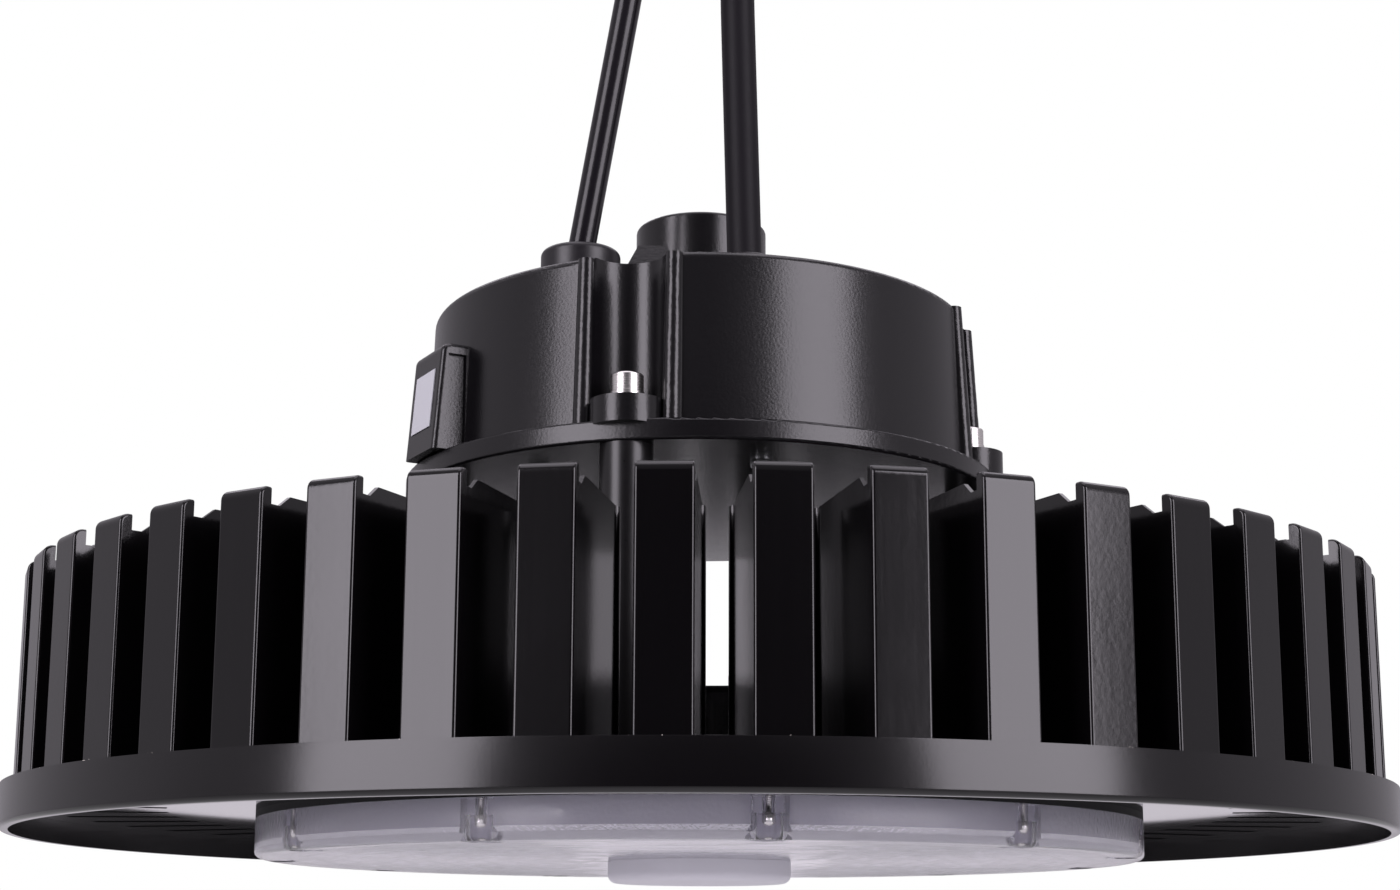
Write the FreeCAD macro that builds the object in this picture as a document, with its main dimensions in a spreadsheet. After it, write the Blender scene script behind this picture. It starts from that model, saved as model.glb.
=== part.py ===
import FreeCAD, Part
import math
import os

import Sketcher
from FreeCAD import Placement, Rotation, Vector

# High bay light: a cast driver housing stands on four posts over a round base
# plate.  Folded sheet channels ring the plate as the heat sink, and a clear
# screwed lens closes the LED board below it.
# Frame: +Z up, origin at the mouth of the hook thread in the top boss, front -Y.

doc = FreeCAD.newDocument("HighBayLight")
sheet = doc.addObject("Spreadsheet::Sheet", "Sizes")
sheet.Label = "Sizes"

SIZES = (
    # hook boss and driver housing
    ("BossRadius", 19.2), ("BossHeight", 31.8), ("BossEdge", 1.2),
    ("HookBore", 8.5), ("HookDepth", 24.0),
    ("BodyFootRadius", 79.2), ("BodyDraft", 1.5), ("BodyHeight", 46.4),
    ("BodyEdge", 2.0),
    ("FlangeProud", 5.8), ("FlangeThick", 5.7), ("FlangeEdge", 0.8),
    ("LugCount", 4), ("LugPhase", -14.0), ("LugInset", 6.8),
    ("LugRadius", 9.6), ("LugRise", 6.1), ("LugSink", 1.0),
    ("FluteClearance", 0.2), ("RidgeRadius", 2.2), ("RidgeFootRadius", 2.6),
    ("RidgeLap", 0.1), ("RidgeInset", 1.5), ("RidgeDraft", 2.1), ("RidgeStop", 0.6),
    ("BoxAzimuth", -61.0), ("BoxWidth", 20.5), ("BoxProud", 7.6), ("BoxDraft", 2.4),
    ("BoxHeight", 29.7), ("BoxEdge", 1.4), ("BoxBrow", 2.6), ("BoxPanelDepth", 1.3),
    ("BoxPanelLength", 5.2), ("BoxPanelMargin", 3.0), ("BoxPanelFrame", 1.6),
    ("BoxRoot", 8.0),
    ("RibWidth", 13.4), ("RibTopWidth", 7.6), ("RibHeight", 6.6),
    ("RibOffset", -13.0), ("RibInset", 13.2), ("RibLength", 26.0),
    # base cover, gasket and contents of the driver
    ("GasketLand", 8.0), ("TopWall", 4.5),
    ("CoverInset", 13.2), ("CoverThick", 2.2), ("CoverFit", 0.2),
    ("GasketThick", 1.2),
    ("CoverScrewCount", 6), ("CoverScrewPhase", 15.0),
    ("CoverScrewHead", 6.0), ("CoverScrewHeadHeight", 2.0),
    ("CoverScrewRadius", 1.5), ("CoverScrewLength", 11.0), ("CoverScrewInset", 4.0),
    ("BoardLength", 80.0), ("BoardWidth", 68.0), ("BoardThick", 1.6),
    ("StandoffHeight", 4.0), ("StandoffRadius", 3.0), ("StandoffInset", 6.0),
    ("CoreLength", 34.0), ("CoreWidth", 28.0), ("CoreHeight", 24.0),
    ("CapacitorRadius", 8.0), ("CapacitorHeight", 26.0), ("CapacitorGap", 3.0),
    # posts and screws between the housing and the plate
    ("PostRadius", 6.9), ("PostHeight", 87.1), ("PostFootRadius", 8.6),
    ("PostFootHeight", 3.0), ("PostBoreDepth", 18.0),
    ("CapScrewRadius", 2.5), ("CapScrewHeadRadius", 4.3), ("CapScrewHeadHeight", 5.0),
    ("CapScrewSocket", 4.0), ("CapScrewSocketDepth", 3.0), ("CapScrewGrip", 10.0),
    ("WasherRadius", 5.2), ("WasherThick", 1.0), ("SpringWasherRadius", 4.5),
    ("SpringWasherThick", 1.2), ("ScrewHoleClearance", 0.3),
    ("FootScrewHeadRadius", 4.2), ("FootScrewHeadHeight", 1.8), ("FootScrewGrip", 9.0),
    ("FootScrewFit", 0.2),
    # heat sink
    ("FinCount", 48), ("FinPhase", -2.26), ("FinSetback", 0.6), ("FinWidth", 12.4),
    ("FinHeight", 58.2), ("FinDepth", 41.0), ("FinSheet", 1.0), ("FinFold", 0.7),
    ("FinTopCurl", 2.3), ("FinLip", 0.7), ("FinWallDrop", 3.8), ("FinStepRise", 2.5),
    ("FinStepStart", 5.6), ("FinStepEnd", 8.8), ("FinHem", 1.3),
    ("FinFootNotch", 1.6),
    # base plate and rim
    ("PlateRadius", 186.3), ("PlateThick", 3.0), ("SlotInset", 2.0),
    ("SlotStop", 8.0), ("SlotWidth", 5.0), ("WireHole", 6.0),
    ("RimWall", 2.8), ("RimRise", 1.7), ("RimDrop", 6.6), ("RimEdge", 1.3),
    ("RimFit", 0.1),
    # optics
    ("SealThick", 1.8), ("LensRadius", 123.2), ("LensWall", 2.4),
    ("LensHeight", 10.3), ("LensFloor", 2.4), ("LensEdge", 1.6),
    ("LensScrewCount", 11), ("LensScrewPhase", 7.6), ("LensScrewInset", 5.6),
    ("LensPocketRadius", 4.2), ("LensPocketWall", 1.2), ("LensPocketDepth", 6.2),
    ("LensScrewRadius", 1.3), ("LensScrewHead", 2.4), ("LensScrewHeadHeight", 2.6),
    ("LensScrewBite", 2.4), ("LensScrewClearance", 0.25),
    ("CapRadius", 25.8), ("CapHeight", 5.9), ("CapEdge", 2.4), ("CapSpigot", 11.0),
    ("CapSpigotLength", 5.0), ("CapFit", 0.15), ("CapWall", 2.0),
    ("LedBoardMargin", 17.2), ("LedBoardThick", 1.6), ("LedSize", 3.0),
    ("LedThick", 0.8), ("LedFirstRing", 36.0), ("LedEdge", 8.0),
    ("LedRings", 5), ("LedFirstCount", 10), ("LedCountStep", 5),
    ("LedScrewRing", 28.0), ("LedScrewCount", 3), ("LedScrewPhase", 30.0),
    ("LedScrewHead", 3.0),
    ("LedScrewHeadHeight", 1.4), ("LedScrewRadius", 1.5), ("LedScrewBite", 2.5),
    # cable glands, leads and their connectors
    ("ControlX", -33.3), ("ControlY", -42.0), ("ControlGlandRadius", 11.0),
    ("ControlGlandHeight", 11.2), ("ControlGlandEdge", 1.8), ("ControlLead", 3.8),
    ("MainsX", 12.2), ("MainsY", -42.0), ("MainsGlandRadius", 8.6),
    ("MainsGlandHeight", 4.9), ("MainsGlandEdge", 2.0), ("MainsNutHeight", 4.5),
    ("MainsNutAcross", 19.0),
    ("MainsLead", 4.8), ("GlandBoreFit", 0.15), ("GlandBoreLength", 80.0),
    ("GlandSeat", 2.0),
    ("ConnectorFit", 0.15), ("ConnectorGrip", 8.0),
    ("ControlPlugRadius", 7.0), ("ControlPlugLength", 26.0), ("ControlNutRadius", 8.4),
    ("ControlNutLength", 12.0), ("MainsPlugRadius", 9.5), ("MainsPlugLength", 32.0),
    ("MainsNutRadius", 11.4), ("MainsNutLength", 16.0), ("PlugTail", 10.0),
    ("PlugTailWall", 1.8),
    ("PinRadius", 1.0), ("PinLength", 7.0), ("PinSpread", 2.6),
    # label on the side box
    ("LabelWidth", 13.2), ("LabelHeight", 16.2), ("LabelThick", 0.25), ("LabelDrop", 6.9),
)
for row, (name, value) in enumerate(SIZES, start=1):
    sheet.set("A%d" % row, name)
    sheet.set("B%d" % row, "%.10g" % value)
    sheet.setAlias("B%d" % row, name)
doc.recompute()


def S(name):
    """The expression text of one size."""
    return "Sizes." + name


def num(expression):
    """The value of an expression over the sheet."""
    if not isinstance(expression, str):
        return float(expression)
    value = sheet.evalExpression(expression.replace("Sizes.", ""))
    return float(getattr(value, "Value", value))


# Levels, from the hook thread's mouth down, as expressions over the sheet
HOUSING_TOP = "(-Sizes.BossHeight)"
FLANGE_TOP = "(%s - Sizes.BodyHeight)" % HOUSING_TOP
FLANGE_FOOT = "(%s - Sizes.FlangeThick)" % FLANGE_TOP
LUG_TOP = "(%s + Sizes.LugRise)" % FLANGE_TOP
PLATE_TOP = "(%s - Sizes.PostHeight)" % FLANGE_FOOT
PLATE_FOOT = "(%s - Sizes.PlateThick)" % PLATE_TOP
FIN_TOP = "(%s + Sizes.FinHeight)" % PLATE_TOP
LENS_TOP = "(%s - Sizes.SealThick)" % PLATE_FOOT
LENS_FOOT = "(%s - Sizes.LensHeight)" % LENS_TOP
COVER_TOP = "(%s + Sizes.CoverThick)" % FLANGE_FOOT
BODY_TOP = "(Sizes.BodyFootRadius - Sizes.BodyDraft)"
FLANGE_RADIUS = "(Sizes.BodyFootRadius + Sizes.FlangeProud)"
LUG_PITCH = "(%s - Sizes.LugInset)" % FLANGE_RADIUS
COVER_RADIUS = "(Sizes.BodyFootRadius - Sizes.CoverInset)"
CAVITY_RADIUS = "(%s - Sizes.GasketLand)" % COVER_RADIUS
BOX_TOP_REACH = "(%s + Sizes.BoxProud)" % BODY_TOP
BOX_FOOT_REACH = "(%s + Sizes.BoxDraft)" % BOX_TOP_REACH
FIN_FACE = "(Sizes.PlateRadius - Sizes.FinSetback)"
LED_BOARD = "(Sizes.LensRadius - Sizes.LedBoardMargin)"
LENS_SCREW_RING = "(Sizes.LensRadius - Sizes.LensScrewInset)"
COVER_SCREW_RING = "(%s - Sizes.CoverScrewInset)" % COVER_RADIUS
RIM_OUTER = "(Sizes.PlateRadius + Sizes.RimFit + Sizes.RimWall)"


def polar(radius, azimuth, shift="0"):
    """X and Y of a point at a radius; azimuth 0 is the front, positive to +X.
    The shift moves it sideways, square to that radius."""
    east = "(%s * sin(%s * 1deg) + (%s) * cos(%s * 1deg))" % (radius, azimuth, shift, azimuth)
    north = "((%s) * sin(%s * 1deg) - %s * cos(%s * 1deg))" % (shift, azimuth, radius, azimuth)
    return east, north


def new_body(label):
    body = doc.addObject("PartDesign::Body", label)
    body.Label = label
    return body


def plane(body, role):
    for feature in body.Origin.OriginFeatures:
        if feature.Role == role:
            return feature
    raise ValueError(role)


def new_sketch(body, name, role="XY_Plane", height="0", turn=None):
    """A sketch on one of the body's origin planes, lifted and turned in it."""
    sketch = body.newObject("Sketcher::SketchObject", name)
    sketch.AttachmentSupport = [(plane(body, role), "")]
    sketch.MapMode = "FlatFace"
    if turn is not None:
        sketch.AttachmentOffset = Placement(Vector(), Rotation(Vector(0, 0, 1), 10))
        sketch.setExpression("AttachmentOffset.Rotation.Angle", turn)
    if height != "0":
        sketch.setExpression("AttachmentOffset.Base.z", height)
    return sketch


def pin(sketch, geometry, end, x, y):
    """Fix one point of a sketch by expressions for its two coordinates."""
    for kind, text, axis in (("DistanceX", x, -2), ("DistanceY", y, -1)):
        if text == "0":
            sketch.addConstraint(Sketcher.Constraint("PointOnObject", geometry, end, axis))
            continue
        value = num(text)
        index = sketch.addConstraint(
            Sketcher.Constraint(kind, -1, 1, geometry, end, value))
        sketch.setExpression("Constraints[%d]" % index, text)


def outline(sketch, corners):
    """A closed outline of straight lines through corners given as expressions."""
    points = [Vector(num(x), num(y), 0) for x, y in corners]
    lines = []
    for start, end in zip(points, points[1:] + points[:1]):
        lines.append(sketch.addGeometry(Part.LineSegment(start, end), False))
    for this, after in zip(lines, lines[1:] + lines[:1]):
        sketch.addConstraint(Sketcher.Constraint("Coincident", this, 2, after, 1))
    for line, (x, y) in zip(lines, corners):
        pin(sketch, line, 1, x, y)


def circle(sketch, x, y, radius):
    shape = Part.Circle(Vector(num(x), num(y), 0), Vector(0, 0, 1), num(radius))
    index = sketch.addGeometry(shape, False)
    pin(sketch, index, 3, x, y)
    size = sketch.addConstraint(Sketcher.Constraint("Radius", index, num(radius)))
    sketch.setExpression("Constraints[%d]" % size, radius)


def revolve(body, name, corners, kind="PartDesign::Revolution"):
    """Turn a closed outline of radius and height about the Z axis."""
    sketch = new_sketch(body, name + "Profile", "XZ_Plane")
    outline(sketch, corners)
    feature = body.newObject(kind, name)
    feature.Profile = sketch
    feature.ReferenceAxis = (sketch, ["V_Axis"])
    feature.Angle = 360
    doc.recompute()
    return feature


def extrude(body, name, sketch, length, kind="PartDesign::Pad", down=False, middle=False):
    """Pad or pocket a sketch, and make sure that it adds or removes material."""
    before = body.Shape.Volume if body.Tip else 0.0
    feature = body.newObject(kind, name)
    feature.Profile = sketch
    feature.Type = 0
    feature.setExpression("Length", length)
    feature.Reversed = down
    if middle:
        feature.SideType = "Symmetric"
    doc.recompute()
    change = body.Shape.Volume - before
    if (change > 0) != (kind == "PartDesign::Pad") or abs(change) < 1e-6:
        raise RuntimeError("%s changed the volume by %.3f" % (name, change))
    return feature


def round_edges(body, name, edges, radius, kind="PartDesign::Fillet"):
    """Round or bevel the named edges of the body's last feature."""
    feature = body.newObject(kind, name)
    feature.Base = (body.Tip if body.Tip != feature else feature.BaseFeature, edges)
    feature.setExpression("Radius" if kind.endswith("Fillet") else "Size", radius)
    body.Tip = feature
    doc.recompute()
    return feature


def rings(shape, radius, height, centre=None):
    """Names of the circular edges of a radius at a height, about Z or a centre."""
    found = []
    for number, edge in enumerate(shape.Edges, start=1):
        curve = edge.Curve
        if not isinstance(curve, Part.Circle) or abs(curve.Radius - num(radius)) > 1e-4:
            continue
        if abs(curve.Center.z - num(height)) > 1e-4:
            continue
        away = Vector(curve.Center.x, curve.Center.y, 0)
        if centre is not None:
            away = away - Vector(num(centre[0]), num(centre[1]), 0)
        if away.Length < 1e-4:
            found.append("Edge%d" % number)
    return found


def uprights(shape, radius_low, radius_high):
    """Names of the straight vertical edges between two distances from Z."""
    found = []
    for number, edge in enumerate(shape.Edges, start=1):
        if not isinstance(edge.Curve, Part.Line):
            continue
        start, end = edge.Vertexes[0].Point, edge.Vertexes[-1].Point
        if Vector(start.x - end.x, start.y - end.y, 0).Length > 1e-4:
            continue
        if radius_low < math.hypot(start.x, start.y) < radius_high:
            found.append("Edge%d" % number)
    return found


def levels(shape, y, height):
    """Names of the straight level edges along X at one Y and height."""
    found = []
    spot = Vector(0, num(y), num(height))
    for number, edge in enumerate(shape.Edges, start=1):
        ends = [vertex.Point for vertex in edge.Vertexes]
        if all(Vector(0, p.y, p.z).distanceToPoint(spot) < 1e-4 for p in ends):
            found.append("Edge%d" % number)
    return found


def pattern(body, name, originals, count):
    """Repeat features evenly about the Z axis."""
    feature = body.newObject("PartDesign::PolarPattern", name)
    feature.Originals = originals
    feature.Axis = (plane(body, "Z_Axis"), [""])
    feature.Angle = 360
    feature.setExpression("Occurrences", count)
    body.Tip = feature
    doc.recompute()
    return feature


def cylinder(label, radius, height, x="0", y="0", z="0"):
    """A plain upright cylinder with every size bound to the sheet."""
    item = doc.addObject("Part::Cylinder", label)
    item.setExpression("Radius", radius)
    item.setExpression("Height", height)
    for axis, text in (("x", x), ("y", y), ("z", z)):
        if text != "0":
            item.setExpression("Placement.Base." + axis, text)
    return item


def cut(label, base, tool):
    item = doc.addObject("Part::Cut", label)
    item.Base = base
    item.Tool = tool
    return item


def fuse(label, parts):
    item = doc.addObject("Part::MultiFuse", label)
    item.Shapes = parts
    return item


def ring_of(label, master, count, phase="0"):
    """Copies of one finished piece, evenly about Z, as separate solids."""
    doc.recompute()
    item = doc.addObject("Part::Feature", label)
    number = int(round(num(count)))
    copies = []
    for index in range(number):
        angle = index * 360.0 / number + num(phase)
        turned = master.Shape.copy()
        turned.rotate(Vector(), Vector(0, 0, 1), angle)
        copies.extend(turned.Solids)
    item.Shape = Part.makeCompound(copies)
    item.Label = label
    return item


nodes = []


def node(item, label):
    """Register a sub-part under its own name."""
    item.Label = label
    nodes.append(item)
    return item


def make_base_plate():
    body = new_body("base_plate")
    disc = new_sketch(body, "DiscOutline", height=PLATE_FOOT)
    circle(disc, "0", "0", S("PlateRadius"))
    circle(disc, "0", "0", S("WireHole"))
    extrude(body, "Disc", disc, S("PlateThick"))
    half = "Sizes.SlotWidth / 2"
    middle = "(Sizes.FinPhase + 180 / Sizes.FinCount)"
    slot = new_sketch(body, "AirSlotOutline", height=PLATE_TOP)
    corners = []
    inner = "(%s - Sizes.FinDepth + Sizes.SlotInset)" % FIN_FACE
    outer = "(%s - Sizes.SlotStop)" % FIN_FACE
    for radius, side in ((inner, "-"), (outer, "-"), (outer, ""), (inner, "")):
        corners.append(polar(radius, middle, side + half))
    outline(slot, corners)
    air = extrude(body, "AirSlot", slot, S("PlateThick"), "PartDesign::Pocket")
    pattern(body, "AirSlots", [air], S("FinCount"))
    foot = new_sketch(body, "PostScrewHoleOutline", height=PLATE_TOP)
    x, y = polar(LUG_PITCH, S("LugPhase"))
    circle(foot, x, y, "Sizes.CapScrewRadius + Sizes.ScrewHoleClearance")
    hole = extrude(body, "PostScrewHole", foot, S("PlateThick"), "PartDesign::Pocket")
    sink = new_sketch(body, "PostScrewSinkOutline", height=PLATE_FOOT)
    circle(sink, x, y, "Sizes.FootScrewHeadRadius + Sizes.FootScrewFit")
    sunk = extrude(body, "PostScrewSink", sink, S("FootScrewHeadHeight"),
                   "PartDesign::Pocket", down=True)
    pattern(body, "PostScrewHoles", [hole, sunk], S("LugCount"))
    lens = new_sketch(body, "LensScrewHoleOutline", height=PLATE_FOOT)
    x, y = polar(LENS_SCREW_RING, S("LensScrewPhase"))
    circle(lens, x, y, "Sizes.LensScrewRadius")
    hole = extrude(body, "LensScrewHole", lens, "Sizes.LensScrewBite",
                   "PartDesign::Pocket", down=True)
    pattern(body, "LensScrewHoles", [hole], S("LensScrewCount"))
    led = new_sketch(body, "BoardScrewHoleOutline", height=PLATE_FOOT)
    x, y = polar(S("LedScrewRing"), S("LedScrewPhase"))
    circle(led, x, y, "Sizes.LedScrewRadius")
    hole = extrude(body, "BoardScrewHole", led, "Sizes.LedScrewBite",
                   "PartDesign::Pocket", down=True)
    pattern(body, "BoardScrewHoles", [hole], S("LedScrewCount"))
    return node(body, "base_plate")


def make_rim_band():
    body = new_body("rim_band")
    inner = "(Sizes.PlateRadius + Sizes.RimFit)"
    top = "(%s + Sizes.RimRise)" % PLATE_TOP
    foot = "(%s - Sizes.RimDrop)" % PLATE_FOOT
    revolve(body, "Band", [(inner, foot), (RIM_OUTER, foot), (RIM_OUTER, top), (inner, top)])
    round_edges(body, "BandFoot", rings(body.Shape, RIM_OUTER, foot), S("RimEdge"))
    return node(body, "rim_band")


def make_fins():
    """One folded channel on the -Y side, then the ring of them."""
    body = new_body("fin_channel")
    face = FIN_FACE
    skin = "(%s - Sizes.FinSheet)" % face
    inner = "(%s - Sizes.FinDepth)" % face
    wall_top = "(%s - Sizes.FinWallDrop)" % FIN_TOP
    inner_top = "(%s + Sizes.FinStepRise)" % wall_top
    lip = "(%s - Sizes.FinTopCurl - Sizes.FinLip)" % face
    side = new_sketch(body, "SideOutline", "YZ_Plane")
    outline(side, [
        ("-" + face, PLATE_TOP), ("-" + face, FIN_TOP), ("-" + lip, FIN_TOP),
        ("-" + lip, wall_top), ("-(%s - Sizes.FinStepStart)" % face, wall_top),
        ("-(%s - Sizes.FinStepEnd)" % face, inner_top), ("-" + inner, inner_top),
        ("-" + inner, PLATE_TOP),
    ])
    extrude(body, "Channel", side, S("FinWidth"), middle=True)
    round_edges(body, "Curl", levels(body.Shape, "-" + face, FIN_TOP), S("FinTopCurl"))
    reach = num(face)
    edges = uprights(body.Shape, reach - 0.01, reach + 1)
    round_edges(body, "Folds", edges, S("FinFold"))
    hollow = new_sketch(body, "HollowOutline", "YZ_Plane")
    roof = "(%s - Sizes.FinSheet)" % FIN_TOP
    below = "(%s - Sizes.FinSheet)" % PLATE_TOP
    behind = "(%s - Sizes.FinSheet)" % inner
    outline(hollow, [("-" + skin, below), ("-" + skin, roof), ("-" + behind, roof),
                     ("-" + behind, below)])
    extrude(body, "Hollow", hollow, "Sizes.FinWidth - 2 * Sizes.FinSheet",
            "PartDesign::Pocket", middle=True)
    round_edges(body, "CurlInside", levels(body.Shape, "-" + skin, roof),
                "Sizes.FinTopCurl - Sizes.FinSheet")
    hem = new_sketch(body, "HemOutline", height=PLATE_TOP)
    for sign in ("-", ""):
        circle(hem, "%s(Sizes.FinWidth / 2 - Sizes.FinSheet / 2)" % sign,
               "-(%s)" % inner, S("FinHem"))
    extrude(body, "Hems", hem, "%s - %s" % (inner_top, PLATE_TOP))
    notch = new_sketch(body, "FootNotchOutline", "XZ_Plane", height=face)
    for sign in ("-", ""):
        corner = "%sSizes.FinWidth / 2" % sign
        inside = "%s(Sizes.FinWidth / 2 - Sizes.FinFootNotch)" % sign
        outline(notch, [(corner, PLATE_TOP), (corner, "%s + Sizes.FinFootNotch" % PLATE_TOP),
                        (inside, PLATE_TOP)])
    extrude(body, "FootNotches", notch, "Sizes.FinFold + Sizes.FinSheet", "PartDesign::Pocket")
    return node(ring_of("heat_sink_fins", body, S("FinCount"), S("FinPhase")),
                "heat_sink_fins")


def make_driver_housing():
    body = new_body("driver_housing")
    revolve(body, "Casting", [
        ("0", "0"), (S("BossRadius"), "0"), (S("BossRadius"), HOUSING_TOP),
        (BODY_TOP, HOUSING_TOP), (S("BodyFootRadius"), FLANGE_TOP),
        (FLANGE_RADIUS, FLANGE_TOP), (FLANGE_RADIUS, FLANGE_FOOT), ("0", FLANGE_FOOT),
    ])
    shape = body.Shape
    round_edges(body, "BodyRound", rings(shape, BODY_TOP, HOUSING_TOP), S("BodyEdge"))
    round_edges(body, "BossRound", rings(body.Shape, S("BossRadius"), "0"), S("BossEdge"))
    flange = rings(body.Shape, FLANGE_RADIUS, FLANGE_TOP)
    flange += rings(body.Shape, FLANGE_RADIUS, FLANGE_FOOT)
    round_edges(body, "FlangeRound", flange, S("FlangeEdge"))
    x, y = polar(LUG_PITCH, S("LugPhase"))
    flute = new_sketch(body, "FluteOutline", height=HOUSING_TOP)
    circle(flute, x, y, "Sizes.LugRadius + Sizes.FluteClearance")
    flutes = extrude(body, "Flute", flute, "Sizes.BodyHeight - Sizes.LugRise",
                     "PartDesign::Pocket")
    lug = new_sketch(body, "LugOutline", height="(%s - Sizes.LugSink)" % FLANGE_TOP)
    circle(lug, x, y, S("LugRadius"))
    lugs = extrude(body, "Lug", lug, "Sizes.LugRise + Sizes.LugSink")
    ridges = [make_ridge(body, "LeftRidge", "-"), make_ridge(body, "RightRidge", "")]
    bore = new_sketch(body, "LugBoreOutline", height=LUG_TOP)
    circle(bore, x, y, "Sizes.CapScrewRadius + Sizes.ScrewHoleClearance")
    bores = extrude(body, "LugBore", bore, "Sizes.LugRise + Sizes.FlangeThick",
                    "PartDesign::Pocket")
    pattern(body, "Lugs", [flutes, lugs, *ridges, bores], S("LugCount"))
    make_side_box(body)
    make_top_rib(body)
    ceiling = "(%s - Sizes.TopWall)" % HOUSING_TOP
    seat = "(%s + Sizes.GasketThick)" % COVER_TOP
    recess = "(%s + Sizes.CoverFit)" % COVER_RADIUS
    revolve(body, "Cavity", [
        ("0", ceiling), (CAVITY_RADIUS, ceiling), (CAVITY_RADIUS, seat),
        (recess, seat), (recess, "%s - 1" % FLANGE_FOOT), ("0", "%s - 1" % FLANGE_FOOT),
    ], "PartDesign::Groove")
    hole = new_sketch(body, "CoverScrewHoleOutline", height=seat)
    east, north = polar(COVER_SCREW_RING, S("CoverScrewPhase"))
    circle(hole, east, north, S("CoverScrewRadius"))
    holes = extrude(body, "CoverScrewHole", hole,
                    "Sizes.CoverScrewLength - Sizes.CoverThick - Sizes.GasketThick",
                    "PartDesign::Pocket", down=True)
    pattern(body, "CoverScrewHoles", [holes], S("CoverScrewCount"))
    hook = new_sketch(body, "HookBoreOutline", height="0.0")
    circle(hook, "0", "0", "Sizes.HookBore / 2")
    extrude(body, "HookBore", hook, S("HookDepth"), "PartDesign::Pocket")
    return node(body, "driver_housing")


def make_ridge(body, name, sign):
    """The drafted bead on one side of a flute, standing out further at its foot."""
    offset = "%s(Sizes.LugRadius + Sizes.FluteClearance + Sizes.RidgeRadius" % sign
    offset += " - Sizes.RidgeLap)"
    span = "(%s - Sizes.RidgeInset)" % BODY_TOP
    ends = ((name + "Foot", FLANGE_TOP, "(%s + Sizes.RidgeDraft)" % span, "RidgeFootRadius"),
            (name + "Top", "(%s - Sizes.RidgeStop)" % HOUSING_TOP, span, "RidgeRadius"))
    sketches = []
    for label, level, reach, radius in ends:
        sketch = new_sketch(body, label, height=level)
        east, north = polar(reach, S("LugPhase"), offset)
        circle(sketch, east, north, S(radius))
        sketches.append(sketch)
    return loft(body, name, sketches)


def loft(body, name, sketches):
    """Join two outlines by straight sides."""
    doc.recompute()
    feature = body.newObject("PartDesign::AdditiveLoft", name)
    feature.Profile = sketches[0]
    feature.Sections = [sketches[1]]
    feature.Ruled = True
    doc.recompute()
    return feature


def make_side_box(body):
    """The box cast on the side wall, with a framed panel on each flank."""
    half = "Sizes.BoxWidth / 2"
    azimuth = S("BoxAzimuth")
    root = "(%s - Sizes.BoxRoot)" % BODY_TOP
    top = "(%s + Sizes.BoxHeight)" % FLANGE_TOP
    sketches = []
    for name, level, reach in (("SideBoxFoot", FLANGE_TOP, BOX_FOOT_REACH),
                               ("SideBoxTop", top, BOX_TOP_REACH)):
        sketch = new_sketch(body, name, height=level)
        outline(sketch, [polar(root, azimuth, "-" + half), polar(reach, azimuth, "-" + half),
                         polar(reach, azimuth, half), polar(root, azimuth, half)])
        sketches.append(sketch)
    loft(body, "SideBox", sketches)
    panel = new_sketch(body, "PanelOutline", height="(%s - Sizes.BoxPanelMargin)" % top)
    outer = "(%s - Sizes.BoxPanelFrame)" % BOX_TOP_REACH
    inner = "(%s - Sizes.BoxPanelLength)" % outer
    deep = "(Sizes.BoxWidth / 2 - Sizes.BoxPanelDepth)"
    wide = "(Sizes.BoxWidth / 2 + Sizes.BoxPanelDepth)"
    for sign in ("-", ""):
        outline(panel, [polar(inner, azimuth, sign + deep), polar(outer, azimuth, sign + deep),
                        polar(outer, azimuth, sign + wide), polar(inner, azimuth, sign + wide)])
    extrude(body, "Panels", panel, "Sizes.BoxHeight - Sizes.BoxPanelMargin",
            "PartDesign::Pocket")
    round_edges(body, "SideBoxBrow", box_edges(body.Shape, upright=False), S("BoxBrow"))
    round_edges(body, "SideBoxCorners", box_edges(body.Shape, upright=True), S("BoxEdge"))


def box_edges(shape, upright):
    """Names of the side box's outer edges: its two corners, or its upper edge."""
    turn = math.radians(num(S("BoxAzimuth")))
    reach = num(BOX_TOP_REACH)
    foot, top = num(FLANGE_TOP), num(FLANGE_TOP) + num(S("BoxHeight"))
    found = []
    for number, edge in enumerate(shape.Edges, start=1):
        ends = [vertex.Point for vertex in edge.Vertexes]
        out = [p.x * math.sin(turn) - p.y * math.cos(turn) for p in ends]
        tall = abs(ends[0].z - ends[-1].z)
        if min(out) < reach - 1e-3 or min(p.z for p in ends) < foot - 1e-3:
            continue
        if upright and tall > 0.9 * (top - foot) - num(S("BoxBrow")):
            found.append("Edge%d" % number)
        if not upright and min(p.z for p in ends) > top - 1e-3:
            found.append("Edge%d" % number)
    return found


def make_top_rib(body):
    """The raised rib on the roof, drawn in towards its top on all four sides."""
    slope = "((Sizes.RibWidth - Sizes.RibTopWidth) / 2)"
    sketches = []
    for name, level, half, inset in (
            ("RibFoot", HOUSING_TOP, "Sizes.RibWidth / 2", "0 * Sizes.RibWidth"),
            ("RibTop", "(%s + Sizes.RibHeight)" % HOUSING_TOP, "Sizes.RibTopWidth / 2", slope)):
        sketch = new_sketch(body, name, height=level)
        front = "-(%s - Sizes.RibInset - %s)" % (BODY_TOP, inset)
        back = "-(%s - Sizes.RibInset - Sizes.RibLength + %s)" % (BODY_TOP, inset)
        outline(sketch, [
            ("Sizes.RibOffset - %s" % half, front), ("Sizes.RibOffset + %s" % half, front),
            ("Sizes.RibOffset + %s" % half, back), ("Sizes.RibOffset - %s" % half, back)])
        sketches.append(sketch)
    loft(body, "Rib", sketches)


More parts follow.
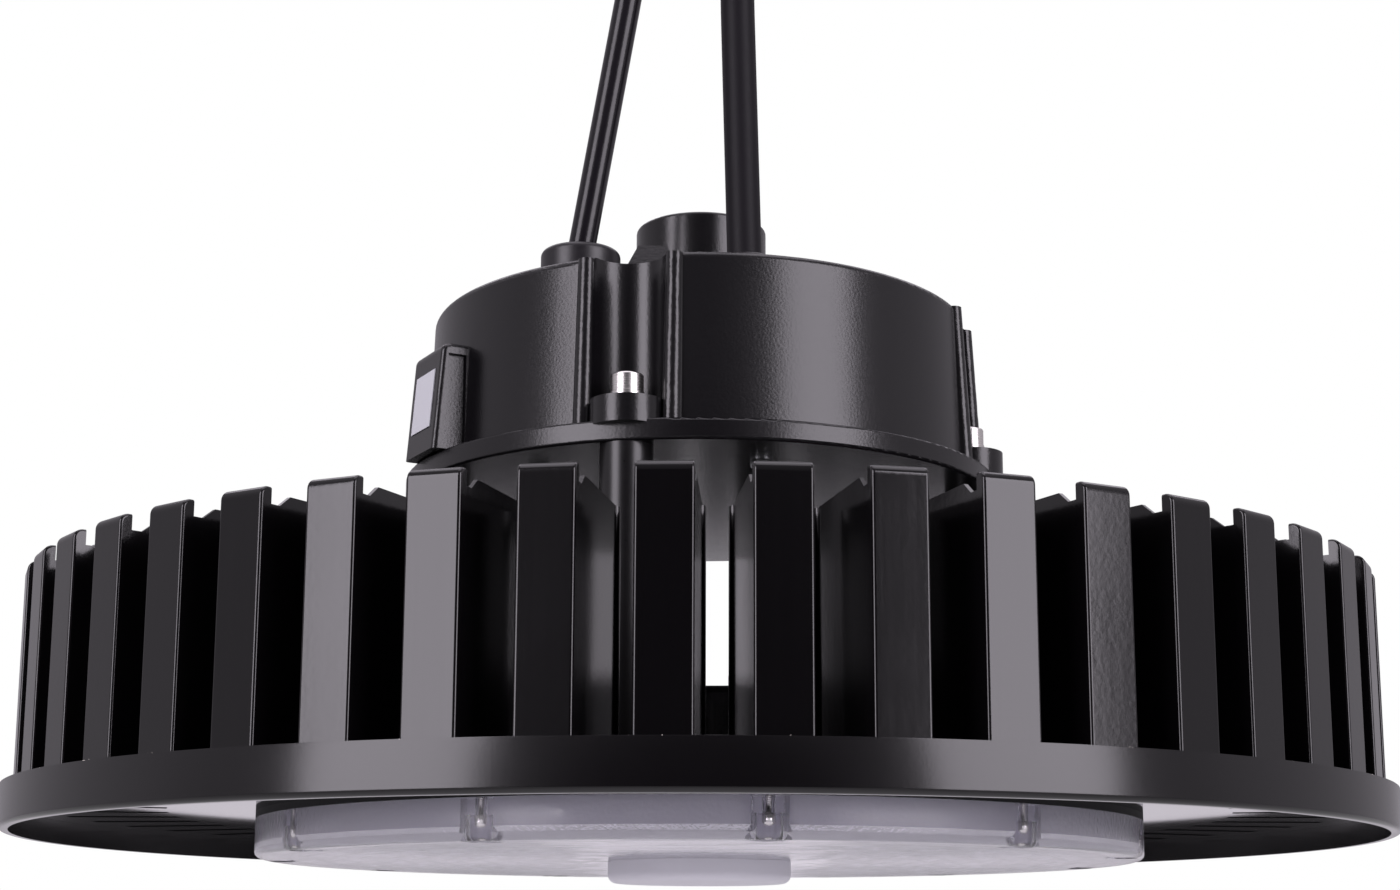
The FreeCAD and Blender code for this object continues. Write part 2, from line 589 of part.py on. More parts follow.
def make_label():
    """The blank plate on the side box's outer face."""
    body = new_body("side_label")
    half = "Sizes.LabelWidth / 2"
    azimuth = S("BoxAzimuth")
    sketches = []
    for name, drop in (("LabelFoot", "(Sizes.LabelDrop + Sizes.LabelHeight)"),
                       ("LabelTop", "Sizes.LabelDrop")):
        level = "(%s + Sizes.BoxHeight - %s)" % (FLANGE_TOP, drop)
        face = "(%s + Sizes.BoxDraft * %s / Sizes.BoxHeight)" % (BOX_TOP_REACH, drop)
        outer = "(%s + Sizes.LabelThick)" % face
        sketch = new_sketch(body, name, height=level)
        outline(sketch, [polar(face, azimuth, "-" + half), polar(outer, azimuth, "-" + half),
                         polar(outer, azimuth, half), polar(face, azimuth, half)])
        sketches.append(sketch)
    loft(body, "Label", sketches)
    return node(body, "side_label")


def make_base_cover():
    body = new_body("base_cover")
    disc = new_sketch(body, "CoverOutline", height=FLANGE_FOOT)
    circle(disc, "0", "0", COVER_RADIUS)
    extrude(body, "Cover", disc, S("CoverThick"))
    stand = new_sketch(body, "StandoffOutline", height=COVER_TOP)
    for along in ("-", ""):
        for across in ("-", ""):
            circle(stand, "%s(Sizes.BoardLength / 2 - Sizes.StandoffInset)" % along,
                   "%s(Sizes.BoardWidth / 2 - Sizes.StandoffInset)" % across,
                   S("StandoffRadius"))
    extrude(body, "Standoffs", stand, S("StandoffHeight"))
    hole = new_sketch(body, "CoverHoleOutline", height=COVER_TOP)
    east, north = polar(COVER_SCREW_RING, S("CoverScrewPhase"))
    circle(hole, east, north, "Sizes.CoverScrewRadius + Sizes.ScrewHoleClearance")
    holes = extrude(body, "CoverHole", hole, S("CoverThick"), "PartDesign::Pocket")
    pattern(body, "CoverHoles", [holes], S("CoverScrewCount"))
    return node(body, "base_cover")


def make_driver_gasket():
    body = new_body("driver_gasket")
    flat = new_sketch(body, "GasketOutline", height=COVER_TOP)
    circle(flat, "0", "0", COVER_RADIUS)
    circle(flat, "0", "0", CAVITY_RADIUS)
    extrude(body, "Gasket", flat, S("GasketThick"))
    hole = new_sketch(body, "GasketHoleOutline", height=COVER_TOP)
    east, north = polar(COVER_SCREW_RING, S("CoverScrewPhase"))
    circle(hole, east, north, "Sizes.CoverScrewRadius + Sizes.ScrewHoleClearance")
    holes = extrude(body, "GasketHole", hole, S("GasketThick"), "PartDesign::Pocket", down=True)
    pattern(body, "GasketHoles", [holes], S("CoverScrewCount"))
    return node(body, "driver_gasket")


def make_driver_contents():
    """Circuit board on the cover's standoffs, with its core and capacitors."""
    foot = "(%s + Sizes.StandoffHeight)" % COVER_TOP
    deck = "(%s + Sizes.BoardThick)" % foot
    board = doc.addObject("Part::Box", "driver_board")
    for side, text in (("Length", S("BoardLength")), ("Width", S("BoardWidth")),
                       ("Height", S("BoardThick"))):
        board.setExpression(side, text)
    board.setExpression("Placement.Base.x", "-Sizes.BoardLength / 2")
    board.setExpression("Placement.Base.y", "-Sizes.BoardWidth / 2")
    board.setExpression("Placement.Base.z", foot)
    node(board, "driver_board")
    core = doc.addObject("Part::Box", "driver_core")
    for side, text in (("Length", S("CoreLength")), ("Width", S("CoreWidth")),
                       ("Height", S("CoreHeight"))):
        core.setExpression(side, text)
    core.setExpression("Placement.Base.x", "-Sizes.CoreLength / 2")
    core.setExpression("Placement.Base.y", "-Sizes.CoreWidth / 2")
    core.setExpression("Placement.Base.z", deck)
    node(core, "driver_core")
    cans = []
    for number, sign in enumerate(("-", "")):
        east = "%s(Sizes.CoreLength / 2 + Sizes.CapacitorRadius + Sizes.CapacitorGap)" % sign
        cans.append(cylinder("capacitor_%d" % number, S("CapacitorRadius"),
                             S("CapacitorHeight"), east, "0", deck))
    node(fuse("driver_capacitors", cans), "driver_capacitors")


def make_cover_screws():
    east, north = polar(COVER_SCREW_RING, S("CoverScrewPhase"))
    head = cylinder("cover_screw_head", "Sizes.CoverScrewHead / 2", S("CoverScrewHeadHeight"),
                    east, north, "%s - Sizes.CoverScrewHeadHeight" % FLANGE_FOOT)
    shank = cylinder("cover_screw_shank", S("CoverScrewRadius"), S("CoverScrewLength"),
                     east, north, FLANGE_FOOT)
    screw = fuse("cover_screw", [head, shank])
    node(ring_of("cover_screws", screw, S("CoverScrewCount")), "cover_screws")


def make_posts():
    """Four posts between the plate and the flange, tapped at both ends."""
    x, y = polar(LUG_PITCH, "0")
    shaft = cylinder("post_shaft", S("PostRadius"), S("PostHeight"), x, y, PLATE_TOP)
    foot = cylinder("post_foot", S("PostFootRadius"), S("PostFootHeight"), x, y, PLATE_TOP)
    lower = cylinder("post_lower_bore", S("CapScrewRadius"), S("PostBoreDepth"),
                     x, y, PLATE_TOP)
    upper = cylinder("post_upper_bore", S("CapScrewRadius"), S("PostBoreDepth"),
                     x, y, "%s - Sizes.PostBoreDepth" % FLANGE_FOOT)
    solid = fuse("post_solid", [shaft, foot])
    bores = fuse("post_bores", [lower, upper])
    post = cut("post", solid, bores)
    node(ring_of("mounting_posts", post, S("LugCount"), S("LugPhase")), "mounting_posts")


def make_lug_screws():
    """Socket-head screws on the lugs, each over a spring and a flat washer."""
    x, y = polar(LUG_PITCH, "0")
    flat_top = "(%s + Sizes.WasherThick)" % LUG_TOP
    spring_top = "(%s + Sizes.SpringWasherThick)" % flat_top
    clear = "(Sizes.CapScrewRadius + Sizes.ScrewHoleClearance)"
    flat = cut("flat_washer", cylinder("flat_washer_disc", S("WasherRadius"),
                                       S("WasherThick"), x, y, LUG_TOP),
               cylinder("flat_washer_hole", clear, S("WasherThick"), x, y, LUG_TOP))
    node(ring_of("flat_washers", flat, S("LugCount"), S("LugPhase")), "flat_washers")
    spring = cut("spring_washer", cylinder("spring_washer_disc", S("SpringWasherRadius"),
                                           S("SpringWasherThick"), x, y, flat_top),
                 cylinder("spring_washer_hole", clear, S("SpringWasherThick"), x, y, flat_top))
    node(ring_of("spring_washers", spring, S("LugCount"), S("LugPhase")), "spring_washers")
    head = cylinder("lug_screw_head", S("CapScrewHeadRadius"), S("CapScrewHeadHeight"),
                    x, y, spring_top)
    socket = doc.addObject("Part::Prism", "lug_screw_socket")
    socket.Polygon = 6
    socket.setExpression("Circumradius", "Sizes.CapScrewSocket / sqrt(3)")
    socket.setExpression("Height", S("CapScrewSocketDepth"))
    socket.setExpression("Placement.Base.y", y)
    socket.setExpression("Placement.Base.z", "%s + Sizes.CapScrewHeadHeight - "
                         "Sizes.CapScrewSocketDepth" % spring_top)
    reach = ("(Sizes.CapScrewGrip + Sizes.FlangeThick + Sizes.LugRise + Sizes.WasherThick"
             " + Sizes.SpringWasherThick)")
    shank = cylinder("lug_screw_shank", S("CapScrewRadius"), reach, x, y,
                     "%s - %s" % (spring_top, reach))
    screw = fuse("lug_screw", [cut("lug_screw_open_head", head, socket), shank])
    node(ring_of("lug_screws", screw, S("LugCount"), S("LugPhase")), "lug_screws")


def make_foot_screws():
    """Low-head screws sunk in the plate from below, into the posts."""
    x, y = polar(LUG_PITCH, "0")
    head = cylinder("foot_screw_head", S("FootScrewHeadRadius"), S("FootScrewHeadHeight"),
                    x, y, PLATE_FOOT)
    shank = cylinder("foot_screw_shank", S("CapScrewRadius"),
                     "Sizes.PlateThick + Sizes.FootScrewGrip", x, y, PLATE_FOOT)
    screw = fuse("foot_screw", [head, shank])
    node(ring_of("post_foot_screws", screw, S("LugCount"), S("LugPhase")), "post_foot_screws")


def make_lens_gasket():
    body = new_body("lens_gasket")
    ring = new_sketch(body, "SealOutline", height=LENS_TOP)
    circle(ring, "0", "0", S("LensRadius"))
    circle(ring, "0", "0", "Sizes.LensRadius - Sizes.LensWall")
    extrude(body, "Seal", ring, S("SealThick"))
    return node(body, "lens_gasket")


def make_lens():
    body = new_body("lens")
    floor = "(%s + Sizes.LensFloor)" % LENS_FOOT
    wall = "(Sizes.LensRadius - Sizes.LensWall)"
    centre = "(Sizes.CapSpigot + Sizes.CapFit)"
    revolve(body, "Cup", [
        (centre, LENS_FOOT), (S("LensRadius"), LENS_FOOT), (S("LensRadius"), LENS_TOP),
        (wall, LENS_TOP), (wall, floor), (centre, floor),
    ])
    round_edges(body, "CupRound", rings(body.Shape, S("LensRadius"), LENS_FOOT), S("LensEdge"))
    x, y = polar(LENS_SCREW_RING, S("LensScrewPhase"))
    tower = new_sketch(body, "TowerOutline", height=LENS_FOOT)
    circle(tower, x, y, "Sizes.LensPocketRadius + Sizes.LensPocketWall")
    towers = extrude(body, "Tower", tower, S("LensHeight"))
    pocket = new_sketch(body, "ScrewPocketOutline", height=LENS_FOOT)
    circle(pocket, x, y, S("LensPocketRadius"))
    pockets = extrude(body, "ScrewPocket", pocket, S("LensPocketDepth"),
                      "PartDesign::Pocket", down=True)
    hole = new_sketch(body, "ScrewHoleOutline", height=LENS_TOP)
    circle(hole, x, y, "Sizes.LensScrewRadius + Sizes.LensScrewClearance")
    holes = extrude(body, "ScrewHole", hole, S("LensHeight"), "PartDesign::Pocket")
    pattern(body, "ScrewTowers", [towers, pockets, holes], S("LensScrewCount"))
    return node(body, "lens")


def make_lens_screws():
    x, y = polar(LENS_SCREW_RING, "0")
    seat = "(%s + Sizes.LensPocketDepth)" % LENS_FOOT
    head = cylinder("lens_screw_head", S("LensScrewHead"), S("LensScrewHeadHeight"),
                    x, y, "%s - Sizes.LensScrewHeadHeight" % seat)
    shank = cylinder("lens_screw_shank", S("LensScrewRadius"),
                     "%s + Sizes.LensScrewBite - %s" % (PLATE_FOOT, seat), x, y, seat)
    screw = fuse("lens_screw", [head, shank])
    node(ring_of("lens_screws", screw, S("LensScrewCount"), S("LensScrewPhase")), "lens_screws")


def make_centre_cap():
    body = new_body("centre_cap")
    foot = "(%s - Sizes.CapHeight)" % LENS_FOOT
    tip = "(%s + Sizes.CapSpigotLength)" % LENS_FOOT
    bore = "(Sizes.CapSpigot - Sizes.CapWall)"
    revolve(body, "Cap", [
        ("0", foot), (S("CapRadius"), foot), (S("CapRadius"), LENS_FOOT),
        (S("CapSpigot"), LENS_FOOT), (S("CapSpigot"), tip), (bore, tip),
        (bore, "%s + Sizes.CapWall" % foot), ("0", "%s + Sizes.CapWall" % foot),
    ])
    round_edges(body, "CapRound", rings(body.Shape, S("CapRadius"), foot), S("CapEdge"))
    return node(body, "centre_cap")


def make_led_board():
    body = new_body("led_board")
    foot = "(%s - Sizes.LedBoardThick)" % PLATE_FOOT
    disc = new_sketch(body, "BoardOutline", height=foot)
    circle(disc, "0", "0", LED_BOARD)
    circle(disc, "0", "0", S("WireHole"))
    extrude(body, "Board", disc, S("LedBoardThick"))
    hole = new_sketch(body, "BoardHoleOutline", height=PLATE_FOOT)
    x, y = polar(S("LedScrewRing"), S("LedScrewPhase"))
    circle(hole, x, y, "Sizes.LedScrewRadius + Sizes.ScrewHoleClearance")
    holes = extrude(body, "BoardHole", hole, S("LedBoardThick"), "PartDesign::Pocket")
    pattern(body, "BoardHoles", [holes], S("LedScrewCount"))
    node(body, "led_board")
    x, y = polar(S("LedScrewRing"), S("LedScrewPhase"))
    head = cylinder("board_screw_head", S("LedScrewHead"), S("LedScrewHeadHeight"),
                    x, y, "%s - Sizes.LedScrewHeadHeight" % foot)
    shank = cylinder("board_screw_shank", S("LedScrewRadius"),
                     "Sizes.LedBoardThick + Sizes.LedScrewBite", x, y, foot)
    screw = fuse("board_screw", [head, shank])
    node(ring_of("led_board_screws", screw, S("LedScrewCount")), "led_board_screws")


def make_led_chips():
    """Rings of square LED packages on the underside of the board."""
    top = num(PLATE_FOOT) - num(S("LedBoardThick"))
    size = num(S("LedSize"))
    thick = num(S("LedThick"))
    chips = []
    rings_out = int(num(S("LedRings")))
    span = num(LED_BOARD) - num(S("LedEdge")) - num(S("LedFirstRing"))
    for ring in range(rings_out):
        radius = num(S("LedFirstRing")) + ring * span / max(rings_out - 1, 1)
        count = int(num(S("LedFirstCount")) + ring * num(S("LedCountStep")))
        for index in range(count):
            chip = Part.makeBox(size, size, thick, Vector(-size / 2, -radius - size / 2, top - thick))
            chip.rotate(Vector(), Vector(0, 0, 1), (index + ring * 0.5) * 360.0 / count)
            chips.append(chip)
    item = doc.addObject("Part::Feature", "led_chips")
    item.Shape = Part.makeCompound(chips)
    node(item, "led_chips")


def route_tube(label, points, radius):
    """A tube along straight runs joined by tangent arcs, its ends cut square."""
    edges = []
    start = points[0]
    for index in range(1, len(points) - 1):
        corner = points[index]
        before = corner - points[index - 1]
        after = points[index + 1] - corner
        turn = before.getAngle(after)
        shorter = min(before.Length, after.Length)
        bend = 0.45 * shorter / math.tan(turn / 2)
        print("%s bend radius %.1f" % (label, bend))
        back = 0.45 * shorter
        enter = corner - Vector(before).normalize() * back
        leave = corner + Vector(after).normalize() * back
        inward = (Vector(after).normalize() - Vector(before).normalize()).normalize()
        middle = corner + inward * (bend / math.cos(turn / 2) - bend)
        edges.append(Part.LineSegment(start, enter).toShape())
        edges.append(Part.Arc(enter, middle, leave).toShape())
        start = leave
    edges.append(Part.LineSegment(start, points[-1]).toShape())
    path = Part.Wire(edges)
    heading = points[1] - points[0]
    ring = Part.Wire([Part.Circle(points[0], heading, radius).toShape()])
    tube = path.makePipeShell([ring], True, True)
    ideal = math.pi * radius * radius * path.Length
    if abs(tube.Volume - ideal) > 0.01 * ideal:
        raise RuntimeError("%s tube volume %.1f for %.1f" % (label, tube.Volume, ideal))
    item = doc.addObject("Part::Feature", label)
    item.Shape = tube
    return node(item, label)


def round_topped(label, x, y, foot, radius, height, edge):
    """An upright cylinder with its upper edge rounded."""
    body = new_body(label)
    disc = new_sketch(body, label.title() + "Outline", height=foot)
    circle(disc, x, y, radius)
    extrude(body, label.title() + "Pad", disc, height)
    top = rings(body.Shape, radius, "(%s + %s)" % (foot, height), (x, y))
    round_edges(body, label.title() + "Round", top, edge)
    return body


def make_lead_side(name, points, lead, gland, plug):
    """Bore a gland along its lead, then lay the lead and set its connector."""
    heading = points[1] - points[0]
    bore = doc.addObject("Part::Feature", name + "_bore")
    bore.Shape = Part.makeCylinder(num(lead) + num(S("GlandBoreFit")),
                                   num(S("GlandBoreLength")), points[0], heading)
    node(cut(name + "_gland", gland, bore), name + "_gland")
    route_tube(name + "_lead", points, num(lead))
    plug.Placement = Placement(points[-1] - Vector(0, 0, num(S("ConnectorGrip"))), Rotation())


def make_connector(label, lead, plug, plug_length, nut, nut_length, pins):
    """An inline socket: sleeve over the lead, knurled barrel and threaded nose."""
    body = new_body(label)
    bore = "(%s + Sizes.ConnectorFit)" % lead
    step = "(Sizes.PlugTail + %s)" % nut_length
    end = "(%s + %s)" % (step, plug_length)
    revolve(body, label.title() + "Barrel", [
        (bore, "0"), ("%s + Sizes.PlugTailWall" % bore, "0"),
        ("%s - Sizes.PlugTailWall" % nut, S("PlugTail")), (nut, S("PlugTail")),
        (nut, step), (plug, step), (plug, end), ("0", end),
        ("0", S("ConnectorGrip")), (bore, S("ConnectorGrip")),
    ])
    face = new_sketch(body, label.title() + "PinHoles", height=end)
    for index in range(pins):
        x, y = polar(S("PinSpread"), "%d" % (index * 360 // pins))
        circle(face, x, y, S("PinRadius"))
    extrude(body, label.title() + "Contacts", face, S("PinLength"), "PartDesign::Pocket")
    return node(body, label)


def make_leads():
    roof = num(HOUSING_TOP)
    x, y = num(S("ControlX")), num(S("ControlY"))
    seat = roof + num(S("GlandSeat"))
    top = roof + num(S("ControlGlandHeight"))
    lean = (CONTROL_TURN.x - x) / (CONTROL_TURN.z - top)
    first = Vector(x - lean * (top - seat), y, seat)
    control = [first, CONTROL_TURN, CONTROL_END]
    gland = round_topped("control_gland_body", S("ControlX"), S("ControlY"), HOUSING_TOP,
                         S("ControlGlandRadius"), S("ControlGlandHeight"),
                         S("ControlGlandEdge"))
    plug = make_connector("control_connector", S("ControlLead"), S("ControlPlugRadius"),
                          S("ControlPlugLength"), S("ControlNutRadius"),
                          S("ControlNutLength"), 2)
    make_lead_side("control", control, S("ControlLead"), gland, plug)
    x, y = num(S("MainsX")), num(S("MainsY"))
    first = Vector(x, y, seat)
    mains = [first, MAINS_TURN, MAINS_END]
    nut = doc.addObject("Part::Prism", "mains_gland_nut")
    nut.Polygon = 6
    nut.setExpression("Circumradius", "Sizes.MainsNutAcross / sqrt(3)")
    nut.setExpression("Height", S("MainsNutHeight"))
    nut.setExpression("Placement.Base.x", S("MainsX"))
    nut.setExpression("Placement.Base.y", S("MainsY"))
    nut.setExpression("Placement.Base.z", HOUSING_TOP)
    dome = round_topped("mains_gland_dome", S("MainsX"), S("MainsY"),
                        "(%s + Sizes.MainsNutHeight)" % HOUSING_TOP, S("MainsGlandRadius"),
                        S("MainsGlandHeight"), S("MainsGlandEdge"))
    gland = fuse("mains_gland_body", [nut, dome])
    plug = make_connector("mains_connector", S("MainsLead"), S("MainsPlugRadius"),
                          S("MainsPlugLength"), S("MainsNutRadius"), S("MainsNutLength"), 3)
    make_lead_side("mains", mains, S("MainsLead"), gland, plug)


# Where each lead turns upright above the light, and where it ends in its connector
CONTROL_TURN = Vector(-17.4, -42.0, 75.0)
CONTROL_END = Vector(-17.4, -42.0, 118.0)
MAINS_TURN = Vector(9.7, -42.0, 68.0)
MAINS_END = Vector(9.7, -42.0, 108.0)

make_base_plate()
make_rim_band()
make_fins()
make_posts()
make_foot_screws()
make_driver_housing()
make_label()
make_base_cover()
make_driver_gasket()
make_cover_screws()
make_driver_contents()
make_lug_screws()
make_leads()
make_led_board()
make_led_chips()
make_lens_gasket()
make_lens()
make_lens_screws()
make_centre_cap()
doc.recompute()

for item in doc.Objects:
    if "Invalid" in item.State or "Error" in item.State:
        raise RuntimeError("%s is %s" % (item.Label, item.State))
os.makedirs("parts", exist_ok=True)
for item in nodes:
    shape = item.Shape
    if shape.isNull() or not shape.isValid():
        raise RuntimeError("%s has no valid shape" % item.Label)
    shape.exportStep("parts/%s.step" % item.Label)
    print("%-20s solids %3d volume %10.1f" % (item.Label, len(shape.Solids), shape.Volume))
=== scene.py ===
"""Finishes, leads, lens details and studio for a high bay light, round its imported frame."""
import math

import bmesh
import bpy
from bpy.props import FloatProperty, FloatVectorProperty, PointerProperty
from mathutils import Matrix, Vector


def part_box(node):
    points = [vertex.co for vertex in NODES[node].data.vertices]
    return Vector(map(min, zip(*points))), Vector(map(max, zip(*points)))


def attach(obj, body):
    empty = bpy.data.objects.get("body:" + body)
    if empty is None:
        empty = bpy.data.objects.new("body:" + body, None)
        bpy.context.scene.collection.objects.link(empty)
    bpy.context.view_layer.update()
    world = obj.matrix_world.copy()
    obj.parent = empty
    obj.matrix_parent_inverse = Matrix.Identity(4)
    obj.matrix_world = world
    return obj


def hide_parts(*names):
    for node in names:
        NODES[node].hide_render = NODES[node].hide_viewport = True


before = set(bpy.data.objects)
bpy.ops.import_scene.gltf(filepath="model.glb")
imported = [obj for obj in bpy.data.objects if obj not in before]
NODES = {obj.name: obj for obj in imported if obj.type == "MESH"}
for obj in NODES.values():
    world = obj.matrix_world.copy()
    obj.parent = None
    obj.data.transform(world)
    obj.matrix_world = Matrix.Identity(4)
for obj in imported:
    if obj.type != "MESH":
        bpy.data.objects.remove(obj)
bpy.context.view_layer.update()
MM = 0.001

bl_info = {
    "name": "High Bay Light",
    "version": (1, 0, 0),
    "blender": (4, 5, 0),
    "location": "View3D > Sidebar > High Bay",
    "description": "Dresses the frame of a suspended high bay light and sets its studio",
    "category": "Object",
}


def colour(name, description, default):
    return FloatVectorProperty(name=name, description=description, subtype="COLOR", size=3,
                               min=0.0, max=1.0, default=default)


def length(name, description, default):
    return FloatProperty(name=name, description=description, unit="LENGTH", precision=4,
                         default=default)


class FinishSettings(bpy.types.PropertyGroup):
    """Colours of the light's finishes."""
    paint: colour("Fin paint", "Gloss black paint of the heat sink fins",
                  (0.0022, 0.0019, 0.0023))
    anodised: colour("Plate black", "Base plate and rim band", (0.0026, 0.0022, 0.0027))
    casting: colour("Cast black", "Textured coating of the driver housing",
                    (0.0040, 0.0036, 0.0044))
    steel: colour("Stainless", "Screws and washers", (0.72, 0.70, 0.68))
    zinc: colour("Zinc plate", "Hidden screws", (0.55, 0.56, 0.57))
    clear: colour("Clear lens", "Polycarbonate of the lens", (0.95, 0.94, 0.98))
    haze: colour("Lens inside", "Frosted inside of the lens", (0.88, 0.86, 0.95))
    cap: colour("Cap grey", "Frosted cap over the sensor port", (0.72, 0.72, 0.76))
    sheath: colour("Lead black", "Sheath of the control lead", (0.006, 0.005, 0.007))
    plastic: colour("Plastic black", "Glands and connectors", (0.007, 0.006, 0.008))
    seal: colour("Seal black", "Rubber seals", (0.010, 0.010, 0.011))
    label: colour("Label white", "Blank label on the side box", (0.57, 0.58, 0.61))
    board: colour("Board white", "Solder mask of the LED board", (0.80, 0.80, 0.82))
    phosphor: colour("Phosphor", "Windows of the LED packages", (0.90, 0.72, 0.18))
    bare_metal: colour("Chipped edge", "Metal that shows where paint has chipped",
                       (0.62, 0.58, 0.52))


class LeadSettings(bpy.types.PropertyGroup):
    """Sizes of the two leads."""
    control_diameter: length("Control lead", "Diameter of the dimming lead", 7.6 * MM)
    mains_diameter: length("Mains lead", "Diameter of the supply lead", 9.6 * MM)


class StudioSettings(bpy.types.PropertyGroup):
    """Camera, lamps and floor."""
    lens: FloatProperty(name="Focal length", description="Lens on a 36 mm sensor",
                        unit="CAMERA", default=54.55, min=10.0)
    rise: FloatProperty(name="Frame rise", description="Vertical shift of the frame",
                        default=0.09)
    pitch: FloatProperty(name="Pitch", description="Upward tilt of the camera",
                         subtype="ANGLE", default=math.radians(10.27))
    roll: FloatProperty(name="Roll", description="Turn of the camera about its view",
                        subtype="ANGLE", default=math.radians(0.17))
    drop: length("Floor drop", "Depth of the floor under the hook thread", 1.9)
    floor: colour("Floor", "Pale floor under the light", (0.82, 0.82, 0.83))
    ambient: FloatProperty(name="Ambient", description="Level of the room's own light",
                           default=0.42, min=0.0)


class Wire:
    """A node's output; arithmetic on it adds Math nodes."""

    def __init__(self, graph, socket):
        self.graph = graph
        self.socket = socket

    def math(self, operation, first, second):
        return self.graph.node("ShaderNodeMath", {"operation": operation},
                               {0: first, 1: second})

    def __add__(self, other):
        return self.math("ADD", self, other)

    __radd__ = __add__

    def __sub__(self, other):
        return self.math("SUBTRACT", self, other)

    def __rsub__(self, other):
        return self.math("SUBTRACT", other, self)

    def __mul__(self, other):
        return self.math("MULTIPLY", self, other)

    __rmul__ = __mul__

    def __truediv__(self, other):
        return self.math("DIVIDE", self, other)

    def __rtruediv__(self, other):
        return self.math("DIVIDE", other, self)

    def __gt__(self, other):
        return self.math("GREATER_THAN", self, other)


class Graph:
    """A node tree, and the one way that nodes are added to it."""

    def __init__(self, tree):
        self.tree = tree

    def node(self, kind, settings=None, sockets=None, output=0):
        """Add a node: its settings first, then the values or links of its sockets."""
        made = self.tree.nodes.new(kind)
        for name, value in (settings or {}).items():
            if name == "stops":
                self.set_stops(made.color_ramp, value)
            else:
                setattr(made, name, value)
        for key, value in (sockets or {}).items():
            self.fill(made.inputs[key], value)
        return Wire(self, made.outputs[output])

    def fill(self, socket, value):
        if isinstance(value, Wire):
            self.tree.links.new(value.socket, socket)
        else:
            socket.default_value = value

    def set_stops(self, ramp, stops):
        while len(ramp.elements) < len(stops):
            ramp.elements.new(1.0)
        for element, (position, level) in zip(ramp.elements, stops):
            element.position = position
            element.color = (level, level, level, 1.0)

    def place(self):
        """Object coordinates, which are the frame's own, in metres."""
        return self.node("ShaderNodeTexCoord", output="Object")

    def noise(self, scale, detail=2.0, vector=None):
        """Noise of so many cells to the metre."""
        return self.node("ShaderNodeTexNoise", None, {
            "Vector": vector or self.place(), "Scale": scale, "Detail": detail,
            "Roughness": 0.5})

    def drawn(self, scales):
        """Noise with its own count of cells to the metre along each axis."""
        stretched = self.node("ShaderNodeVectorMath", {"operation": "MULTIPLY"},
                              {0: self.place(), 1: scales})
        return self.noise(1.0, 2.0, stretched)

    def axis(self, name):
        return self.node("ShaderNodeSeparateXYZ", None, {0: self.place()}, output=name)

    def ramp(self, value, stops):
        return self.node("ShaderNodeValToRGB", {"stops": stops}, {"Fac": value})

    def blend(self, factor, first, second):
        """Mix two colours, whose sockets are the mix node's 6 and 7 and output 2."""
        return self.node("ShaderNodeMix", {"data_type": "RGBA"},
                         {"Factor": factor, 6: self.rgba(first), 7: self.rgba(second)},
                         output=2)

    def rgba(self, value):
        return value if isinstance(value, Wire) else (*value, 1.0)

    def bump(self, height, strength, distance):
        return self.node("ShaderNodeBump", None,
                         {"Strength": strength, "Distance": distance, "Height": height})


class Finish(Graph):
    """A material with a Principled shader, whose constants stand on its own sockets."""

    def __init__(self, name, base, roughness, metallic=0.0, **constants):
        self.material = bpy.data.materials.new(name)
        self.material.use_nodes = True
        super().__init__(self.material.node_tree)
        self.shader = self.tree.nodes["Principled BSDF"]
        self.set("Base Color", base)
        self.set("Roughness", roughness)
        self.set("Metallic", metallic)
        for key, value in constants.items():
            self.set(key.replace("_", " ").title().replace("Ior", "IOR"), value)

    def set(self, name, value):
        if not isinstance(value, (Wire, float, int)):
            value = self.rgba(value)
        self.fill(self.shader.inputs[name], value)
        return self


# Cells of noise to the metre: a larger count gives a finer grain
CHIP_CELLS = 620.0
STREAK_CELLS = (900.0, 900.0, 14.0)
ORANGE_PEEL_CELLS = 650.0
PAINT_CLOUD_CELLS = 38.0
SHEET_GRAIN_CELLS = 1400.0
SHEET_CLOUD_CELLS = 24.0
PEBBLE_CELLS = 1500.0
CASTING_CLOUD_CELLS = 30.0
TURNING_CELLS = (60.0, 60.0, 9000.0)
LENS_HAZE_CELLS = 70.0
FLOW_CELLS = (24.0, 150.0, 24.0)
POCKET_CELLS = 200.0
STIPPLE_CELLS = 900.0
MOULDED_CELLS = 900.0
LABEL_CELLS = 1600.0
# How deep each grain is taken to be
PEEL_DEPTH = 0.2 * MM
GRAIN_DEPTH = 0.1 * MM
PEBBLE_DEPTH = 0.15 * MM
TURNING_DEPTH = 0.05 * MM
STIPPLE_DEPTH = 0.3 * MM
# Chips in the paint: how far from the rim's edge, and the noise above which they show
FIN_CHIP_REACH, FIN_CHIP_LEVEL = 3.0 * MM, 0.69
RIM_CHIP_REACH, RIM_CHIP_LEVEL = 0.8 * MM, 0.7
# A ramp that falls from 1 to 0
FADE = [(0.0, 1.0), (1.0, 0.0)]
# The moulded lens: half width of the band across its gate, and where its streaks begin
GATE_REACH = 60 * MM
FLOW_STREAKS = [(0.34, 0.0), (0.42, 1.0)]
PLASTIC_IOR = 1.5


def finish_settings(context):
    return context.scene.highbay_finish


def rim_chips(finish, reach, level):
    """Where paint has chipped, near the rim band's upper edge."""
    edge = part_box("rim_band")[1].z
    above = (finish.axis("Z") - edge) / reach
    near = finish.ramp(above * above, FADE)
    return (near * finish.noise(CHIP_CELLS)) > level


